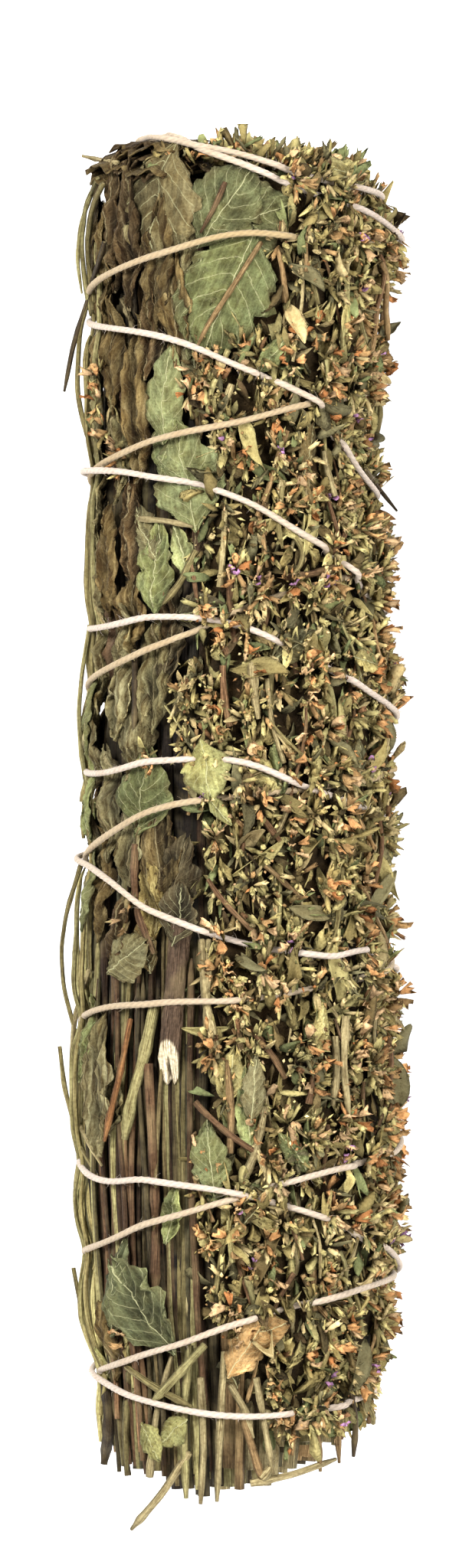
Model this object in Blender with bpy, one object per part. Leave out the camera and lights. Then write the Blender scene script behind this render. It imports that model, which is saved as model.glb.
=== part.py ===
"""Dried herb smudge bundle, lying on a table: stems packed side by side, crumpled mint
leaves and loose stems down one side, oregano tops round the other, and one cotton twine
wound up to the tip and back down to a knot.

Everything is laid out on the bundle in three coordinates: rho, the distance from the
bundle's axis before it is squeezed, in millimetres; theta, the angle round the axis, in
degrees, 0 facing up, 90 towards +X; and y, the distance along the axis. squeezed() then
gives the real distance from the axis, and moves nothing along or round it. So pieces that
stay in their own stretch of rho, theta and y can't run into each other.
"""

import math
import random

import bmesh
import bpy
import numpy as np
from mathutils import Vector

MM = 0.001

# Driving dimensions, in millimetres.
TIP_Y = 102.4  # where leaves are folded over the leafy end
CUT_Y = -102.5  # the lowest of the cut ends of the stems
CUT_ARC = 10.5  # how much shorter the stems at the sides are cut
CUT_LOWEST_X = -3.0
SEAT = 24.0  # rho of the surface that the twine lies on
AXIS_X = 1.1
AXIS_Z = 22.2  # height of the axis over the table
FLAT_DEPTH = 21.6  # what lies at SEAT straight below the axis is pressed to this
FLAT_SHARPNESS = 14
TWINE_RADIUS = 0.53
TWINE_CLEARANCE = 0.34
TWINE_SIDES = 5
TWINE_STEP = 24.0  # degrees
TWINE_SEAT_GAP = 0.1
PINCH_DEPTH = 1.3  # how far the twine draws the bundle in
PINCH_WIDTH = 2.4
PINCH_RHO = (8.0, 21.0)  # the pull fades from the outside in to nothing
HUMP = 1.36  # rise of the second layer of twine over the first
HUMP_WIDTH = 1.9
GAP = 0.35  # between neighbouring pieces
SEED = 8

# The real half width over SEAT at stations along y, on the -X and on the +X side.
LEFT_GIRTH = (
    (-103, 0.86), (-86, 0.91), (-73, 1.01), (-45, 1.06), (-20, 1.03),
    (0, 1.01), (40, 0.98), (90, 0.99), (101, 0.97), (107, 0.84),
)
RIGHT_GIRTH = (
    (-103, 0.82), (-90, 0.92), (-75, 1.0), (-58, 1.07), (-40, 1.06), (-12, 0.99),
    (20, 1.04), (38, 0.97), (56, 0.90), (72, 0.97), (88, 1.04), (98, 0.94), (107, 0.66),
)

# Where each winding lies, as y at theta -90, -33, 0, 33 and 90. The twine climbs from the
# knot to the tip, goes twice over the end and comes down again over its own first layer.
WINDING_STATIONS = (-90, -33, 0, 33, 90)
CLIMBING = (
    (-83.9, -79.9, -75.6, -72.3, -69.1),
    (-65.5, -60.3, -56.4, -52.6, -48.5),
    (-30.2, -27.0, -26.4, -24.5, -20.8),
    (-5.0, 2.6, 4.6, 6.0, 8.7),
    (21.6, 27.6, 32.9, 36.9, 40.6),
    (53.6, 59.2, 61.7, 64.8, 67.7),
    (82.0, 87.2, 90.3, 89.6, 89.8),
)
DESCENDING = (
    (77.6, 74.9, 70.1, 64.4, 51.0),
    (54.5, 53.2, 50.0, 43.2, 33.5),
    (30.4, 32.0, 30.6, 24.9, 17.0),
    (8.4, 10.0, 9.9, 5.2, 1.4),
    (-5.0, -13.1, -17.6, -19.7, -21.6),
    (-51.1, -54.0, -55.9, -59.8, -67.1),
    (-83.9, -88.4, -89.9, -89.2, -87.0),
)
# Over the tip, as theta, rho and y. The first comes straight after the climb.
OVER_THE_TIP = (
    (-180, 24.0, 97.0), (-135, 21.5, 103.0), (-105, 18.0, 105.4), (-75, 16.5, 105.8),
    (-43, 20.8, 105.4), (-20, 23.6, 104.0), (0, 24.0, 102.6), (33, 24.0, 99.2),
    (70, 24.0, 97.4), (110, 24.0, 97.0), (180, 24.0, 99.6), (225, 20.5, 103.4),
    (262, 15.0, 105.6), (292, 13.4, 106.0), (322, 18.8, 105.6), (344, 23.4, 103.2),
    (360, 24.0, 101.2), (385, 24.0, 97.6), (425, 24.0, 93.6), (480, 24.0, 88.0),
    (540, 24.0, 82.0),
)
KNOT_THETA = 135
KNOT_Y = -86.4
KNOT_RADIUS = 1.5
TAIL_LENGTH = 9.0

# Leafy side: -135 to where the oregano tops begin, which shifts along the bundle.
TOPS_END_THETA = 225
TOP_STRETCHES = ((69, 102, 8), (4, 69, -8), (-42, 4, -14), (-92, -42, -19))
TOPS_ROUND = 3
TOP_CORE = (13.3, 20.3)
TOP_BUMP = 1.5  # how far the packed florets of the core stand up and sink back
FLORET_PITCH = 6.4
SPIKE_WIDTH = 36.0  # degrees
TIER_HEIGHT = 13.5
REDRAWS = 8  # how often a bunch of tops is drawn afresh until it fuses into one closed body
BLADE = (9.0, 4.4, 1.0)
FLORET = (2.4, 1.6)

# Stems packed in the middle, and a row of them side by side: rho, radius and thetas.
PACKED_SPACING = 5.0
PACKED_RADIUS = 2.9
PACKED_REACH = 3  # places each way from the axis
PACKED_RHO = 9.7
PACKED_END_Y = 86.0
ROW_END_Y = 95.0
END_SPREAD = 4.0  # how unevenly the stems end under the tip
CUT_SPREAD = 1.6
LEAFY_SIDE = (-121, -33)  # where the bunch reaches further out
LEAFY_RHO = 13.4
OUTER_ROW = (18.3, 1.7, tuple(range(-127, -26, 10)))
SHORT_ROW = ((-17, 5), (-7, 70), (2, 70))  # theta and y of the upper part's extra stems
ROW_STATIONS = (-62.0, -8.0, 50.0)  # y where the long stems bend
# Stems of the lowest layer to show: theta, its y from and to, and its radius.
LOW_STEMS = (
    (-119, -98, -8, 1.0), (-106, -97, -22, 0.9), (-93, -95, -12, 0.9), (-81, -96, -48, 1.0),
    (-69, -98, -49, 0.9), (-57, -99, -14, 1.0), (-46, -101, -23, 0.95), (-35, -102, -42, 1.0),
    (-25, -101, -45, 0.9),
)
LOW_STEM_RHO = 21.05
# Thin green stalks along the -X edge: theta, y from and to.
EDGE_STALKS = ((-96, 8, 100), (-87, 10, 101), (-78, 14, 98))
EDGE_STALK = (21.0, 0.75)
STEM_SIDES = 6
STEM_STEP = 12.0

# A thick dark side branch: theta, rho, y of its slant cut, of the cut's top and of its upper
# end, and its radius. The cut leaves this share of its width.
WOODY_STEM = (-24.5, 21.6, (-39.0, -34.0, -23.5, -15.5), 1.2)
WOODY_CUT = 0.45
SWAY = 0.9  # degrees that a single stem wanders
SWAY_LENGTH = 27.0
# Stems that stand off the bundle: theta, rho and y of the near and the far end, radius.
STRAY_STEMS = (
    ((-92, 24.0, 75), (-98, 27.4, 62), 0.5),
    ((-14, 22.9, -91.8), (-47, 23.3, -107.0), 0.6),
    ((-84, 27.2, -33), (-80, 23.2, -49), 0.5),
    ((52, 18, -99.5), (98, 17.6, -95.6), 0.8),
)

# Mint leaves: theta, y, length, width, turn from +Y, how high it lies under the twine and how
# deeply it is crumpled.
LEAVES = (
    (-36.0, 94.5, 15, 13.0, -6, 21.9, 0.9),
    (-6.0, 95.5, 10, 9.0, 40, 21.9, 0.5),
    (-8.0, 80.5, 15.5, 9.5, 16, 21.9, 0.4),
    (-31.0, 80.0, 11.5, 7.4, 4, 21.9, 1.1),
    (-63.0, 88.0, 22, 6.4, 2, 21.9, 1.1),
    (-58.0, 64.0, 22, 7.6, -3, 21.9, 1.1),
    (-32.0, 67.0, 12.5, 8.0, 6, 21.9, 0.5),
    (-23.0, 52.0, 14, 10.0, -12, 21.9, 0.4),
    (-56.0, 41.0, 20, 7.0, 3, 21.9, 1.1),
    (-34.0, 37.0, 12, 7.6, 8, 21.9, 0.6),
    (-62.0, 19.5, 18, 6.6, 0, 21.9, 0.8),
    (-40.0, 20.5, 16, 6.8, -8, 21.9, 1.0),
    (-37.0, 4.0, 12, 8.0, 8, 21.9, 0.5),
    (-62.0, -0.5, 16, 6.0, 4, 21.9, 0.8),
    (-70.0, -38.5, 17, 6.6, -4, 21.9, 0.9),
    (-41.0, -72.0, 15, 9.4, 152, 23.2, 0.15),
    (-113.0, 78.0, 24, 9.0, 4, 21.9, 1.0),
    (-112.0, 46.0, 24, 9.5, -6, 21.9, 1.0),
    (-113.0, 18.0, 20, 8.0, 8, 21.9, 0.8),
)
LEAF_THICKNESS = 0.7
LEAF_RISE = 0.9
LEAF_ROWS = 6
TOOTH = 0.10
# Leaves folded over the tip: theta, and their reach across the end.
TIP_LEAVES = ((-80, 11.5), (-27, 10.5), (-117, 10.0))
TIP_LEAF_RHO = 19.2
TIP_LEAF_HALF = 13.0  # degrees
TIP_CORE = (9.8, 90.0, 99.6)  # rho, and y from and to
TIP_TURNS = 10
# Rings of bracts at the tip: how many, their rho, and the thetas they keep to.
TIP_RINGS = ((4, 3.0, (0, 360)), (8, 7.8, (25, 205)))
TIP_BRACT = (98.0, 100.4, 103.6)  # y of root, widest part and tip

COLOURS = {
    "stem_green": ((0.30, 0.26, 0.10), 0.75),
    "stem_brown": ((0.16, 0.10, 0.055), 0.8),
    "leaf_dark": ((0.16, 0.125, 0.06), 0.85),
    "leaf_green": ((0.30, 0.29, 0.13), 0.8),
    "oregano": ((0.33, 0.27, 0.12), 0.85),
    "cotton": ((0.80, 0.72, 0.60), 0.9),
}


def eased(stations, y):
    """Value between hand set stations along y, easing in and out of each."""
    ys, values = np.array(stations, float).T
    at = np.clip(np.searchsorted(ys, y) - 1, 0, len(ys) - 2)
    share = np.clip((y - ys[at]) / (ys[at + 1] - ys[at]), 0, 1)
    share = share * share * (3 - 2 * share)
    return values[at] + (values[at + 1] - values[at]) * share


def flow(points, step):
    """A smooth curve through points, as rows, by Catmull and Rom's formula."""
    points = np.asarray(points, float)
    ends = np.vstack([2 * points[0] - points[1], points, 2 * points[-1] - points[-2]])
    rows = []
    for p0, p1, p2, p3 in zip(ends, ends[1:], ends[2:], ends[3:], strict=False):
        count = max(1, round(abs(p2[0] - p1[0]) / step))
        t = np.arange(count)[:, None] / count
        rows.append(
            0.5 * (2 * p1 + (p2 - p0) * t + (2 * p0 - 5 * p1 + 4 * p2 - p3) * t**2
                   + (3 * p1 - p0 - 3 * p2 + p3) * t**3)
        )
    return np.vstack([*rows, points[-1:]])


def twine_route(step):
    """theta, rho, y and which layer, 0 or 1, of points along the twine, knot to knot."""
    climb = [(KNOT_THETA - 360, SEAT, KNOT_Y)]
    for turn, heights in enumerate(CLIMBING):
        climb += [(t + 360 * turn, SEAT, y) for t, y in zip(WINDING_STATIONS, heights, strict=True)]
    first = 360 * len(CLIMBING)
    over = [(first + t, rho, y) for t, rho, y in OVER_THE_TIP]
    down = []
    for turn, heights in enumerate(DESCENDING):
        start = first + 720 + 360 * turn
        down += [(start + t, SEAT, y) for t, y in zip(WINDING_STATIONS, heights, strict=True)]
    down.append((down[-1][0] - 90 + KNOT_THETA, SEAT, KNOT_Y - 1.0))
    route = flow(climb + over + down, step)
    layer = (route[:, 0] > over[2][0]).astype(float)
    return np.column_stack([route, layer])


def unrolled(theta, y):
    """Points on the bundle's surface unrolled to a plane, theta from 0 to 360."""
    return np.column_stack([np.radians(np.mod(theta, 360)) * SEAT, y])


def distance_to(lines, theta, y):
    """Distance from each point to the nearest of lines' points, round the bundle."""
    here = unrolled(theta, y)
    turn = 2 * math.pi * SEAT
    nearest = np.full(len(here), 1e9)
    for start in range(0, len(here), 500):
        across = np.abs(here[start:start + 500, None, 0] - lines[None, :, 0])
        across = np.minimum(across, turn - across)
        along = here[start:start + 500, None, 1] - lines[None, :, 1]
        nearest[start:start + 500] = np.sqrt(across**2 + along**2).min(axis=1)
    return nearest


FINE_ROUTE = twine_route(4.0)
ON_SIDE = FINE_ROUTE[FINE_ROUTE[:, 1] > SEAT - 1.5]
TWINE_LINES = unrolled(ON_SIDE[:, 0], ON_SIDE[:, 2])
FIRST_LAYER = unrolled(*ON_SIDE[ON_SIDE[:, 3] == 0][:, [0, 2]].T)


def squeezed(rho, theta, y, drawn_in=True):
    """Real distance from the axis. The outline widens and narrows along the bundle, the
    underside is pressed flat by its weight, and the twine draws a valley along its route."""
    side = np.sin(np.radians(theta))
    down = -np.cos(np.radians(theta))
    girth = eased(LEFT_GIRTH, y) * (1 - side) / 2 + eased(RIGHT_GIRTH, y) * (1 + side) / 2
    under = np.clip(down, 0, 1) ** 2
    ends = np.minimum(girth, 1.0)
    girth = girth * (1 - under) + np.where(np.abs(y) > 80, ends, 1.0) * under
    pressed = FLAT_DEPTH / (SEAT * np.maximum(down, 0.05))
    girth = girth * (1 + pressed ** -FLAT_SHARPNESS) ** (-1 / FLAT_SHARPNESS)
    if not drawn_in:
        return rho * girth

    depth = np.clip((rho - PINCH_RHO[0]) / (PINCH_RHO[1] - PINCH_RHO[0]), 0, 1)
    depth = PINCH_DEPTH * depth * depth * (3 - 2 * depth)
    valley = np.exp(-(distance_to(TWINE_LINES, theta, y) / PINCH_WIDTH) ** 2)
    return rho * girth - depth * valley


def on_bundle(rho, theta, y, drawn_in=True):
    """Real positions, in metres, of points given on the bundle."""
    rho, theta, y = (np.atleast_1d(np.asarray(v, float)).ravel() for v in (rho, theta, y))
    rho, theta, y = np.broadcast_arrays(rho, theta, y)
    radius = squeezed(rho, theta, y, drawn_in)
    turn = np.radians(theta)
    return np.column_stack([
        AXIS_X + radius * np.sin(turn), y, AXIS_Z + radius * np.cos(turn),
    ]) * MM


def material(name):
    colour, roughness = COLOURS[name]
    made = bpy.data.materials.get(name) or bpy.data.materials.new(name)
    made.use_nodes = True
    shader = made.node_tree.nodes["Principled BSDF"]
    shader.inputs["Base Color"].default_value = (*colour, 1)
    shader.inputs["Roughness"].default_value = roughness
    shader.inputs["Metallic"].default_value = 0
    return made


def mesh_object(name, points, faces, finish, collection=None):
    mesh = bpy.data.meshes.new(name)
    mesh.from_pydata([tuple(p) for p in points], [], [tuple(f) for f in faces])
    shape = bmesh.new()
    shape.from_mesh(mesh)
    bmesh.ops.recalc_face_normals(shape, faces=shape.faces)
    bmesh.ops.triangulate(shape, faces=shape.faces)
    shape.to_mesh(mesh)
    shape.free()
    mesh.materials.append(material(finish))
    made = bpy.data.objects.new(name, mesh)
    (collection or bpy.context.scene.collection).objects.link(made)
    return made


def remove(made):
    mesh = made.data
    bpy.data.objects.remove(made)
    bpy.data.meshes.remove(mesh)


def boolean(target, operation, other):
    """Applies one Boolean with an object or a whole collection. The manifold solver, because
    blades that graze each other at random leave open edges after the exact one."""
    modifier = target.modifiers.new(operation.lower(), "BOOLEAN")
    modifier.solver = "MANIFOLD"
    modifier.operation = operation
    if isinstance(other, bpy.types.Collection):
        modifier.operand_type = "COLLECTION"
        modifier.collection = other
    else:
        modifier.object = other
    bpy.context.view_layer.update()
    graph = bpy.context.evaluated_depsgraph_get()
    cut = bpy.data.meshes.new_from_object(target.evaluated_get(graph))
    target.modifiers.clear()
    old, target.data = target.data, cut
    bpy.data.meshes.remove(old)


def fuse(target, collection):
    """Joins the collection's objects to target as one body, and removes them."""
    boolean(target, "UNION", collection)
    for made in list(collection.objects):
        remove(made)
    bpy.data.collections.remove(collection)


def repeats(name):
    made = bpy.data.collections.new(name)
    bpy.context.scene.collection.children.link(made)
    return made


def is_closed(made):
    """Whether every edge has just two faces, and nothing is flat."""
    shape = bmesh.new()
    shape.from_mesh(made.data)
    sound = all(len(edge.link_faces) == 2 for edge in shape.edges)
    sound = sound and all(len(vert.link_edges) == len(vert.link_faces) for vert in shape.verts)
    shape.free()
    return sound and len(made.data.vertices) > 0


def drop_scraps(made):
    """Keeps the largest body, and drops what a cut left loose."""
    shape = bmesh.new()
    shape.from_mesh(made.data)
    bmesh.ops.triangulate(shape, faces=shape.faces)
    left, bodies = set(shape.verts), []
    while left:
        found, edge = set(), [left.pop()]
        while edge:
            vert = edge.pop()
            found.add(vert)
            near = {e.other_vert(vert) for e in vert.link_edges} - found
            edge += near
            found |= near
        left -= found
        bodies.append(found)
    bodies.sort(key=len)
    for body in bodies[:-1]:
        bmesh.ops.delete(shape, geom=list(body), context="VERTS")
    shape.to_mesh(made.data)
    shape.free()


def tube(path, radius, sides, turn=0.0):
    """Points and faces of a closed tube round a path, in the path's units. radius may be
    one value for each point of the path."""
    path = np.asarray(path, float)
    radius = np.broadcast_to(radius, len(path))
    along = np.gradient(path, axis=0)
    along /= np.linalg.norm(along, axis=1)[:, None]
    normal = np.cross(along[0], [0.31, 0.23, 0.92])
    rings = []
    for centre, direction, r in zip(path, along, radius, strict=True):
        normal = normal - direction * (normal @ direction)
        normal /= np.linalg.norm(normal)
        other = np.cross(direction, normal)
        angles = np.arange(sides) * 2 * math.pi / sides + turn
        rings.append(centre + r * (np.outer(np.cos(angles), normal) + np.outer(np.sin(angles), other)))
    points = np.vstack(rings)
    faces = [tuple(range(sides))[::-1]]
    for ring in range(len(path) - 1):
        for side in range(sides):
            a, b = ring * sides + side, ring * sides + (side + 1) % sides
            faces.append((a, b, b + sides, a + sides))
    faces.append(tuple(range(len(points) - sides, len(points))))
    return points, faces


def stem(theta, rho, stations, radius, turn=90.0):
    """Points and faces of a stem that runs along the bundle, its rings square to the axis.
    theta may be one value for each station. It isn't drawn in by the twine."""
    corners = np.radians(turn + np.arange(STEM_SIDES) * 360 / STEM_SIDES)[None, :]
    theta = np.broadcast_to(np.asarray(theta, float), len(stations))[:, None]
    y = np.asarray(stations, float)[:, None] + 0 * corners
    around = np.radians(theta)
    x = rho * np.sin(around) + radius * np.sin(corners + around)
    z = rho * np.cos(around) + radius * np.cos(corners + around)
    points = on_bundle(np.hypot(x, z), np.degrees(np.arctan2(x, z)), y, False)
    _, faces = tube(np.column_stack([0 * y[:, 0], y[:, 0], 0 * y[:, 0]]), 1, STEM_SIDES)
    return points, faces


def cut_level(theta, rho):
    """y where a stem is cut: the bunch was trimmed on a shallow arc."""
    across = rho * math.sin(math.radians(theta))
    return CUT_Y + CUT_ARC * ((across - CUT_LOWEST_X) / SEAT) ** 2


def make_packed_stems(draw):
    """The bunch in the middle, close packed so that each stem sinks into its neighbours."""
    bunch = repeats("packed")
    body = None
    places = range(-PACKED_REACH, PACKED_REACH + 1)
    for row in places:
        for column in places:
            across = (column + 0.5 * (row % 2)) * PACKED_SPACING
            up = row * PACKED_SPACING * math.sqrt(3) / 2
            rho = math.hypot(across, up)
            theta = math.degrees(math.atan2(across, up))
            leafy = LEAFY_SIDE[0] < theta < LEAFY_SIDE[1]
            if rho > (LEAFY_RHO if leafy else PACKED_RHO):
                continue
            start = cut_level(theta, rho) + draw.uniform(-CUT_SPREAD, CUT_SPREAD)
            stations = (start, ROW_STATIONS[1], PACKED_END_Y - draw.uniform(0, END_SPREAD))
            points, faces = stem(theta, rho, stations, PACKED_RADIUS, draw.uniform(0, 60))
            target = None if body is None else bunch
            made = mesh_object("packed_stems", points, faces, "stem_green", target)
            body = body or made
    fuse(body, bunch)
    drop_scraps(body)


def make_outer_stems(draw):
    """A row of stems side by side under the leafy side, each sunk in the next."""
    rho, radius, thetas = OUTER_ROW
    bunch = repeats("outer_row")
    body = None
    cuts = [(theta, cut_level(theta, rho) + draw.uniform(-CUT_SPREAD, CUT_SPREAD)) for theta in thetas]
    for theta, start in [*cuts, *SHORT_ROW]:
        bends = [y for y in ROW_STATIONS if y > start + STEM_STEP]
        end = ROW_END_Y - draw.uniform(0, END_SPREAD)
        points, faces = stem(theta, rho, (start, *bends, end), radius)
        target = None if body is None else bunch
        made = mesh_object("outer_stems", points, faces, "stem_green", target)
        body = body or made
    fuse(body, bunch)
    drop_scraps(body)


def single_stem(name, theta, rho, start, end, radius, finish, drift, groove):
    """One stem of its own, swaying a little as it runs along the bundle."""
    y = np.linspace(start, end, max(3, round((end - start) / STEM_STEP)))
    shape = stem(theta + SWAY * np.sin(y / SWAY_LENGTH + drift), rho, y, radius)
    made = mesh_object(name, *shape, finish)
    boolean(made, "DIFFERENCE", groove)
    drop_scraps(made)


def make_stems(groove):
    for number, (theta, start, end, radius) in enumerate(LOW_STEMS, 1):
        finish = "stem_brown" if number % 2 else "stem_green"
        single_stem(f"low_stem_{number:02d}", theta, LOW_STEM_RHO, start, end, radius, finish,
                    number, groove)
    rho, radius = EDGE_STALK
    for number, (theta, start, end) in enumerate(EDGE_STALKS, 1):
        single_stem(f"edge_stalk_{number}", theta, rho, start, end, radius, "stem_green",
                    number, groove)
    for number, (near, far, radius) in enumerate(STRAY_STEMS, 1):
        theta, rho, y = np.linspace(near, far, 4).T
        points, faces = tube(on_bundle(rho, theta, y), radius * MM, STEM_SIDES)
        mesh_object(f"stray_stem_{number}", points, faces, "stem_green")


def make_woody_stem(groove):
    """A thick dark side branch, cut on the slant at its lower end."""
    theta, rho, stations, radius = WOODY_STEM
    points, faces = stem(theta, rho, stations, radius)
    points[:STEM_SIDES] += (points[0] - points[:STEM_SIDES]) * (1 - WOODY_CUT)
    boolean(mesh_object("woody_stem", points, faces, "stem_brown"), "DIFFERENCE", groove)


def leaf_half_width(share):
    """A mint leaf's half width along its length, widest nearer the stalk, 1 at the most."""
    return np.sin(np.pi * np.clip(share, 0.03, 0.975) ** 0.82) ** 0.75


def leaf_grid(leaf, number):
    """Middle surface of one crumpled leaf, as rho, theta, y on a grid."""
    theta, y, length, width, turn, level, crumple = leaf
    share = np.linspace(0, 1, LEAF_ROWS)[:, None]
    across = np.array([-1, -0.5, 0, 0.5, 1])[None, :]
    teeth = 1 + TOOTH * np.where(np.arange(LEAF_ROWS)[:, None] % 2, 1, -1)
    half = 0.5 * width * leaf_half_width(share) * np.where(np.abs(across) > 0.9, teeth, 1)
    a = (share - 0.5) * length + 0 * across
    b = across * half
    bearing = math.radians(turn)
    here_y = y + a * math.cos(bearing) - b * math.sin(bearing)
    here_theta = theta + np.degrees((a * math.sin(bearing) + b * math.cos(bearing)) / SEAT)
    fold = (np.abs(across) - 0.5) * 0.7
    ripple = 0.6 * np.sin(share * 9 + number) * np.cos(across * 2.2 + number)
    free = distance_to(TWINE_LINES, here_theta.ravel(), here_y.ravel()).reshape(a.shape)
    free = np.clip((free - 1.2) / 3.5, 0, 1)
    rho = level + free * (LEAF_RISE + crumple * (fold + ripple))
    return rho, here_theta, here_y


def sheet(rho, theta, y, thickness):
    """Points and faces of a sheet of even thickness, split into triangles alike on both faces."""
    rows, columns = rho.shape
    top = on_bundle(rho + thickness / 2, theta, y, False)
    bottom = on_bundle(rho - thickness / 2, theta, y, False)
    index = np.arange(rows * columns).reshape(rows, columns)
    a, b, c, d = index[:-1, :-1], index[:-1, 1:], index[1:, 1:], index[1:, :-1]
    faces = [f for s in ((a, b, c), (a, c, d)) for f in np.stack(s, -1).reshape(-1, 3)]
    under = [f[::-1] + len(top) for f in faces]
    rim = np.concatenate([index[0], index[1:, -1], index[-1, -2::-1], index[-2:0:-1, 0]])
    walls = []
    for p, q in zip(rim, np.roll(rim, -1), strict=True):
        walls += [(q, p, p + len(top)), (q, p + len(top), q + len(top))]
    return np.vstack([top, bottom]), [*faces, *under, *walls]


def make_leaves(groove):
    for number, leaf in enumerate(LEAVES, 1):
        points, faces = sheet(*leaf_grid(leaf, number), LEAF_THICKNESS)
        finish = "leaf_dark" if leaf[6] > 0.75 else "leaf_green"
        made = mesh_object(f"leaf_{number:02d}", points, faces, finish)
        boolean(made, "DIFFERENCE", groove)
        drop_scraps(made)


def make_tip_leaves(groove):
    """Leaves whose ends are folded over the tip, under the twine."""
    for number, (theta, reach) in enumerate(TIP_LEAVES, 1):
        share = np.linspace(0, 1, LEAF_ROWS)[:, None]
        across = np.linspace(-1, 1, 5)[None, :]
        rho = TIP_LEAF_RHO - reach * share + 0 * across
        angle = theta + across * TIP_LEAF_HALF * (1 - 0.5 * share**2)
        y = TIP_Y + np.sin(share * 3 + number) + 0.35 * np.cos(across * 5 + number)
        top = on_bundle(rho, angle, y)
        under = on_bundle(rho, angle, y - LEAF_THICKNESS)
        _, faces = sheet(rho, angle, y, LEAF_THICKNESS)
        made = mesh_object(f"tip_leaf_{number}", np.vstack([top, under]), faces, "leaf_dark")
        boolean(made, "DIFFERENCE", groove)
        drop_scraps(made)


def slab(cell, rhos, draw):
    """A stretch of the bundle's wall, its outside lumpy with packed florets, its inside bare."""
    theta_from, theta_to, y_from, y_to = cell
    columns = 1 + round(math.radians(theta_to - theta_from) * SEAT / FLORET_PITCH)
    rows = 1 + round((y_to - y_from) / FLORET_PITCH)
    points = []
    for row in range(rows):
        for column in range(columns):
            edge = row in (0, rows - 1) or column in (0, columns - 1)
            jitter = 0 if edge else 0.22
            a = (column + draw.uniform(-jitter, jitter)) / (columns - 1)
            b = (row + draw.uniform(-jitter, jitter)) / (rows - 1)
            up = 1 if (row + column) % 2 else -1
            rho = rhos[1] + TOP_BUMP * (up * 0.6 + draw.uniform(-0.4, 0.4))
            points.append((rho, theta_from + a * (theta_to - theta_from), y_from + b * (y_to - y_from)))
    outer = on_bundle(*np.array(points).T)
    across = (theta_from, (theta_from + theta_to) / 2, theta_to)
    along = (y_from, (y_from + y_to) / 2, y_to)
    inner = on_bundle(*np.array([(rhos[0], t, y) for y in along for t in across]).T, False)
    index = np.arange(rows * columns).reshape(rows, columns)
    n = rows * columns
    a, b, c, d = index[:-1, :-1], index[:-1, 1:], index[1:, 1:], index[1:, :-1]
    faces = np.stack([a, b, c, d], -1).reshape(-1, 4).tolist()
    faces += [(n + i, n + i + 1, n + i + 4, n + i + 3) for i in (0, 1, 3, 4)]
    faces += [(*index[0], n + 2, n + 1, n), (*index[-1], n + 8, n + 7, n + 6)]
    faces += [(*index[:, 0], n + 6, n + 3, n), (*index[:, -1], n + 8, n + 5, n + 2)]
    return np.vstack([outer, inner]), faces


BLADE_FACES = ((0, 2, 1), (0, 1, 3), (0, 4, 2), (2, 4, 1), (1, 4, 3), (3, 4, 0))


def blade(root, tip, width, thickness, cell):
    """Five points and six faces of a cupped bract: root, tip, two raised edges and keel,
    kept inside its cell of theta and y."""
    root, tip = np.array(root, float), np.array(tip, float)
    middle = root + (tip - root) * 0.55
    run = np.array([math.radians(tip[1] - root[1]) * SEAT, tip[2] - root[2]])
    run = run / max(np.linalg.norm(run), 1e-6) * width / 2
    edge = np.array([0, math.degrees(-run[1] / SEAT), run[0]])
    lift = np.array([thickness, 0, 0])
    rows = np.array([root, tip, middle + edge + lift, middle - edge + lift, middle - lift])
    theta_from, theta_to, y_from, y_to = cell
    rows[:, 1] = np.clip(rows[:, 1], theta_from, theta_to)
    rows[:, 2] = np.clip(rows[:, 2], y_from, y_to)
    return on_bundle(*rows.T), BLADE_FACES


def floret(theta, y, rho, draw, cell):
    """A four sided open cup, its foot sunk in the core."""
    height, half = FLORET
    turn = draw.uniform(0, 90)
    rows = [(rho - 3.2, theta, y), (rho + height * 0.45, theta, y)]
    for corner in range(4):
        angle = math.radians(turn + 90 * corner)
        rows.append((rho + height, theta + math.degrees(half * 1.3 * math.cos(angle) / SEAT),
                     y + half * 1.3 * math.sin(angle)))
    rows = np.array(rows)
    rows[:, 1] = np.clip(rows[:, 1], cell[0], cell[1])
    rows[:, 2] = np.clip(rows[:, 2], cell[2], cell[3])
    faces = [(0, 2, 3), (0, 3, 4), (0, 4, 5), (0, 5, 2), (1, 3, 2), (1, 4, 3), (1, 5, 4), (1, 2, 5)]
    return on_bundle(*rows.T), faces


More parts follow.
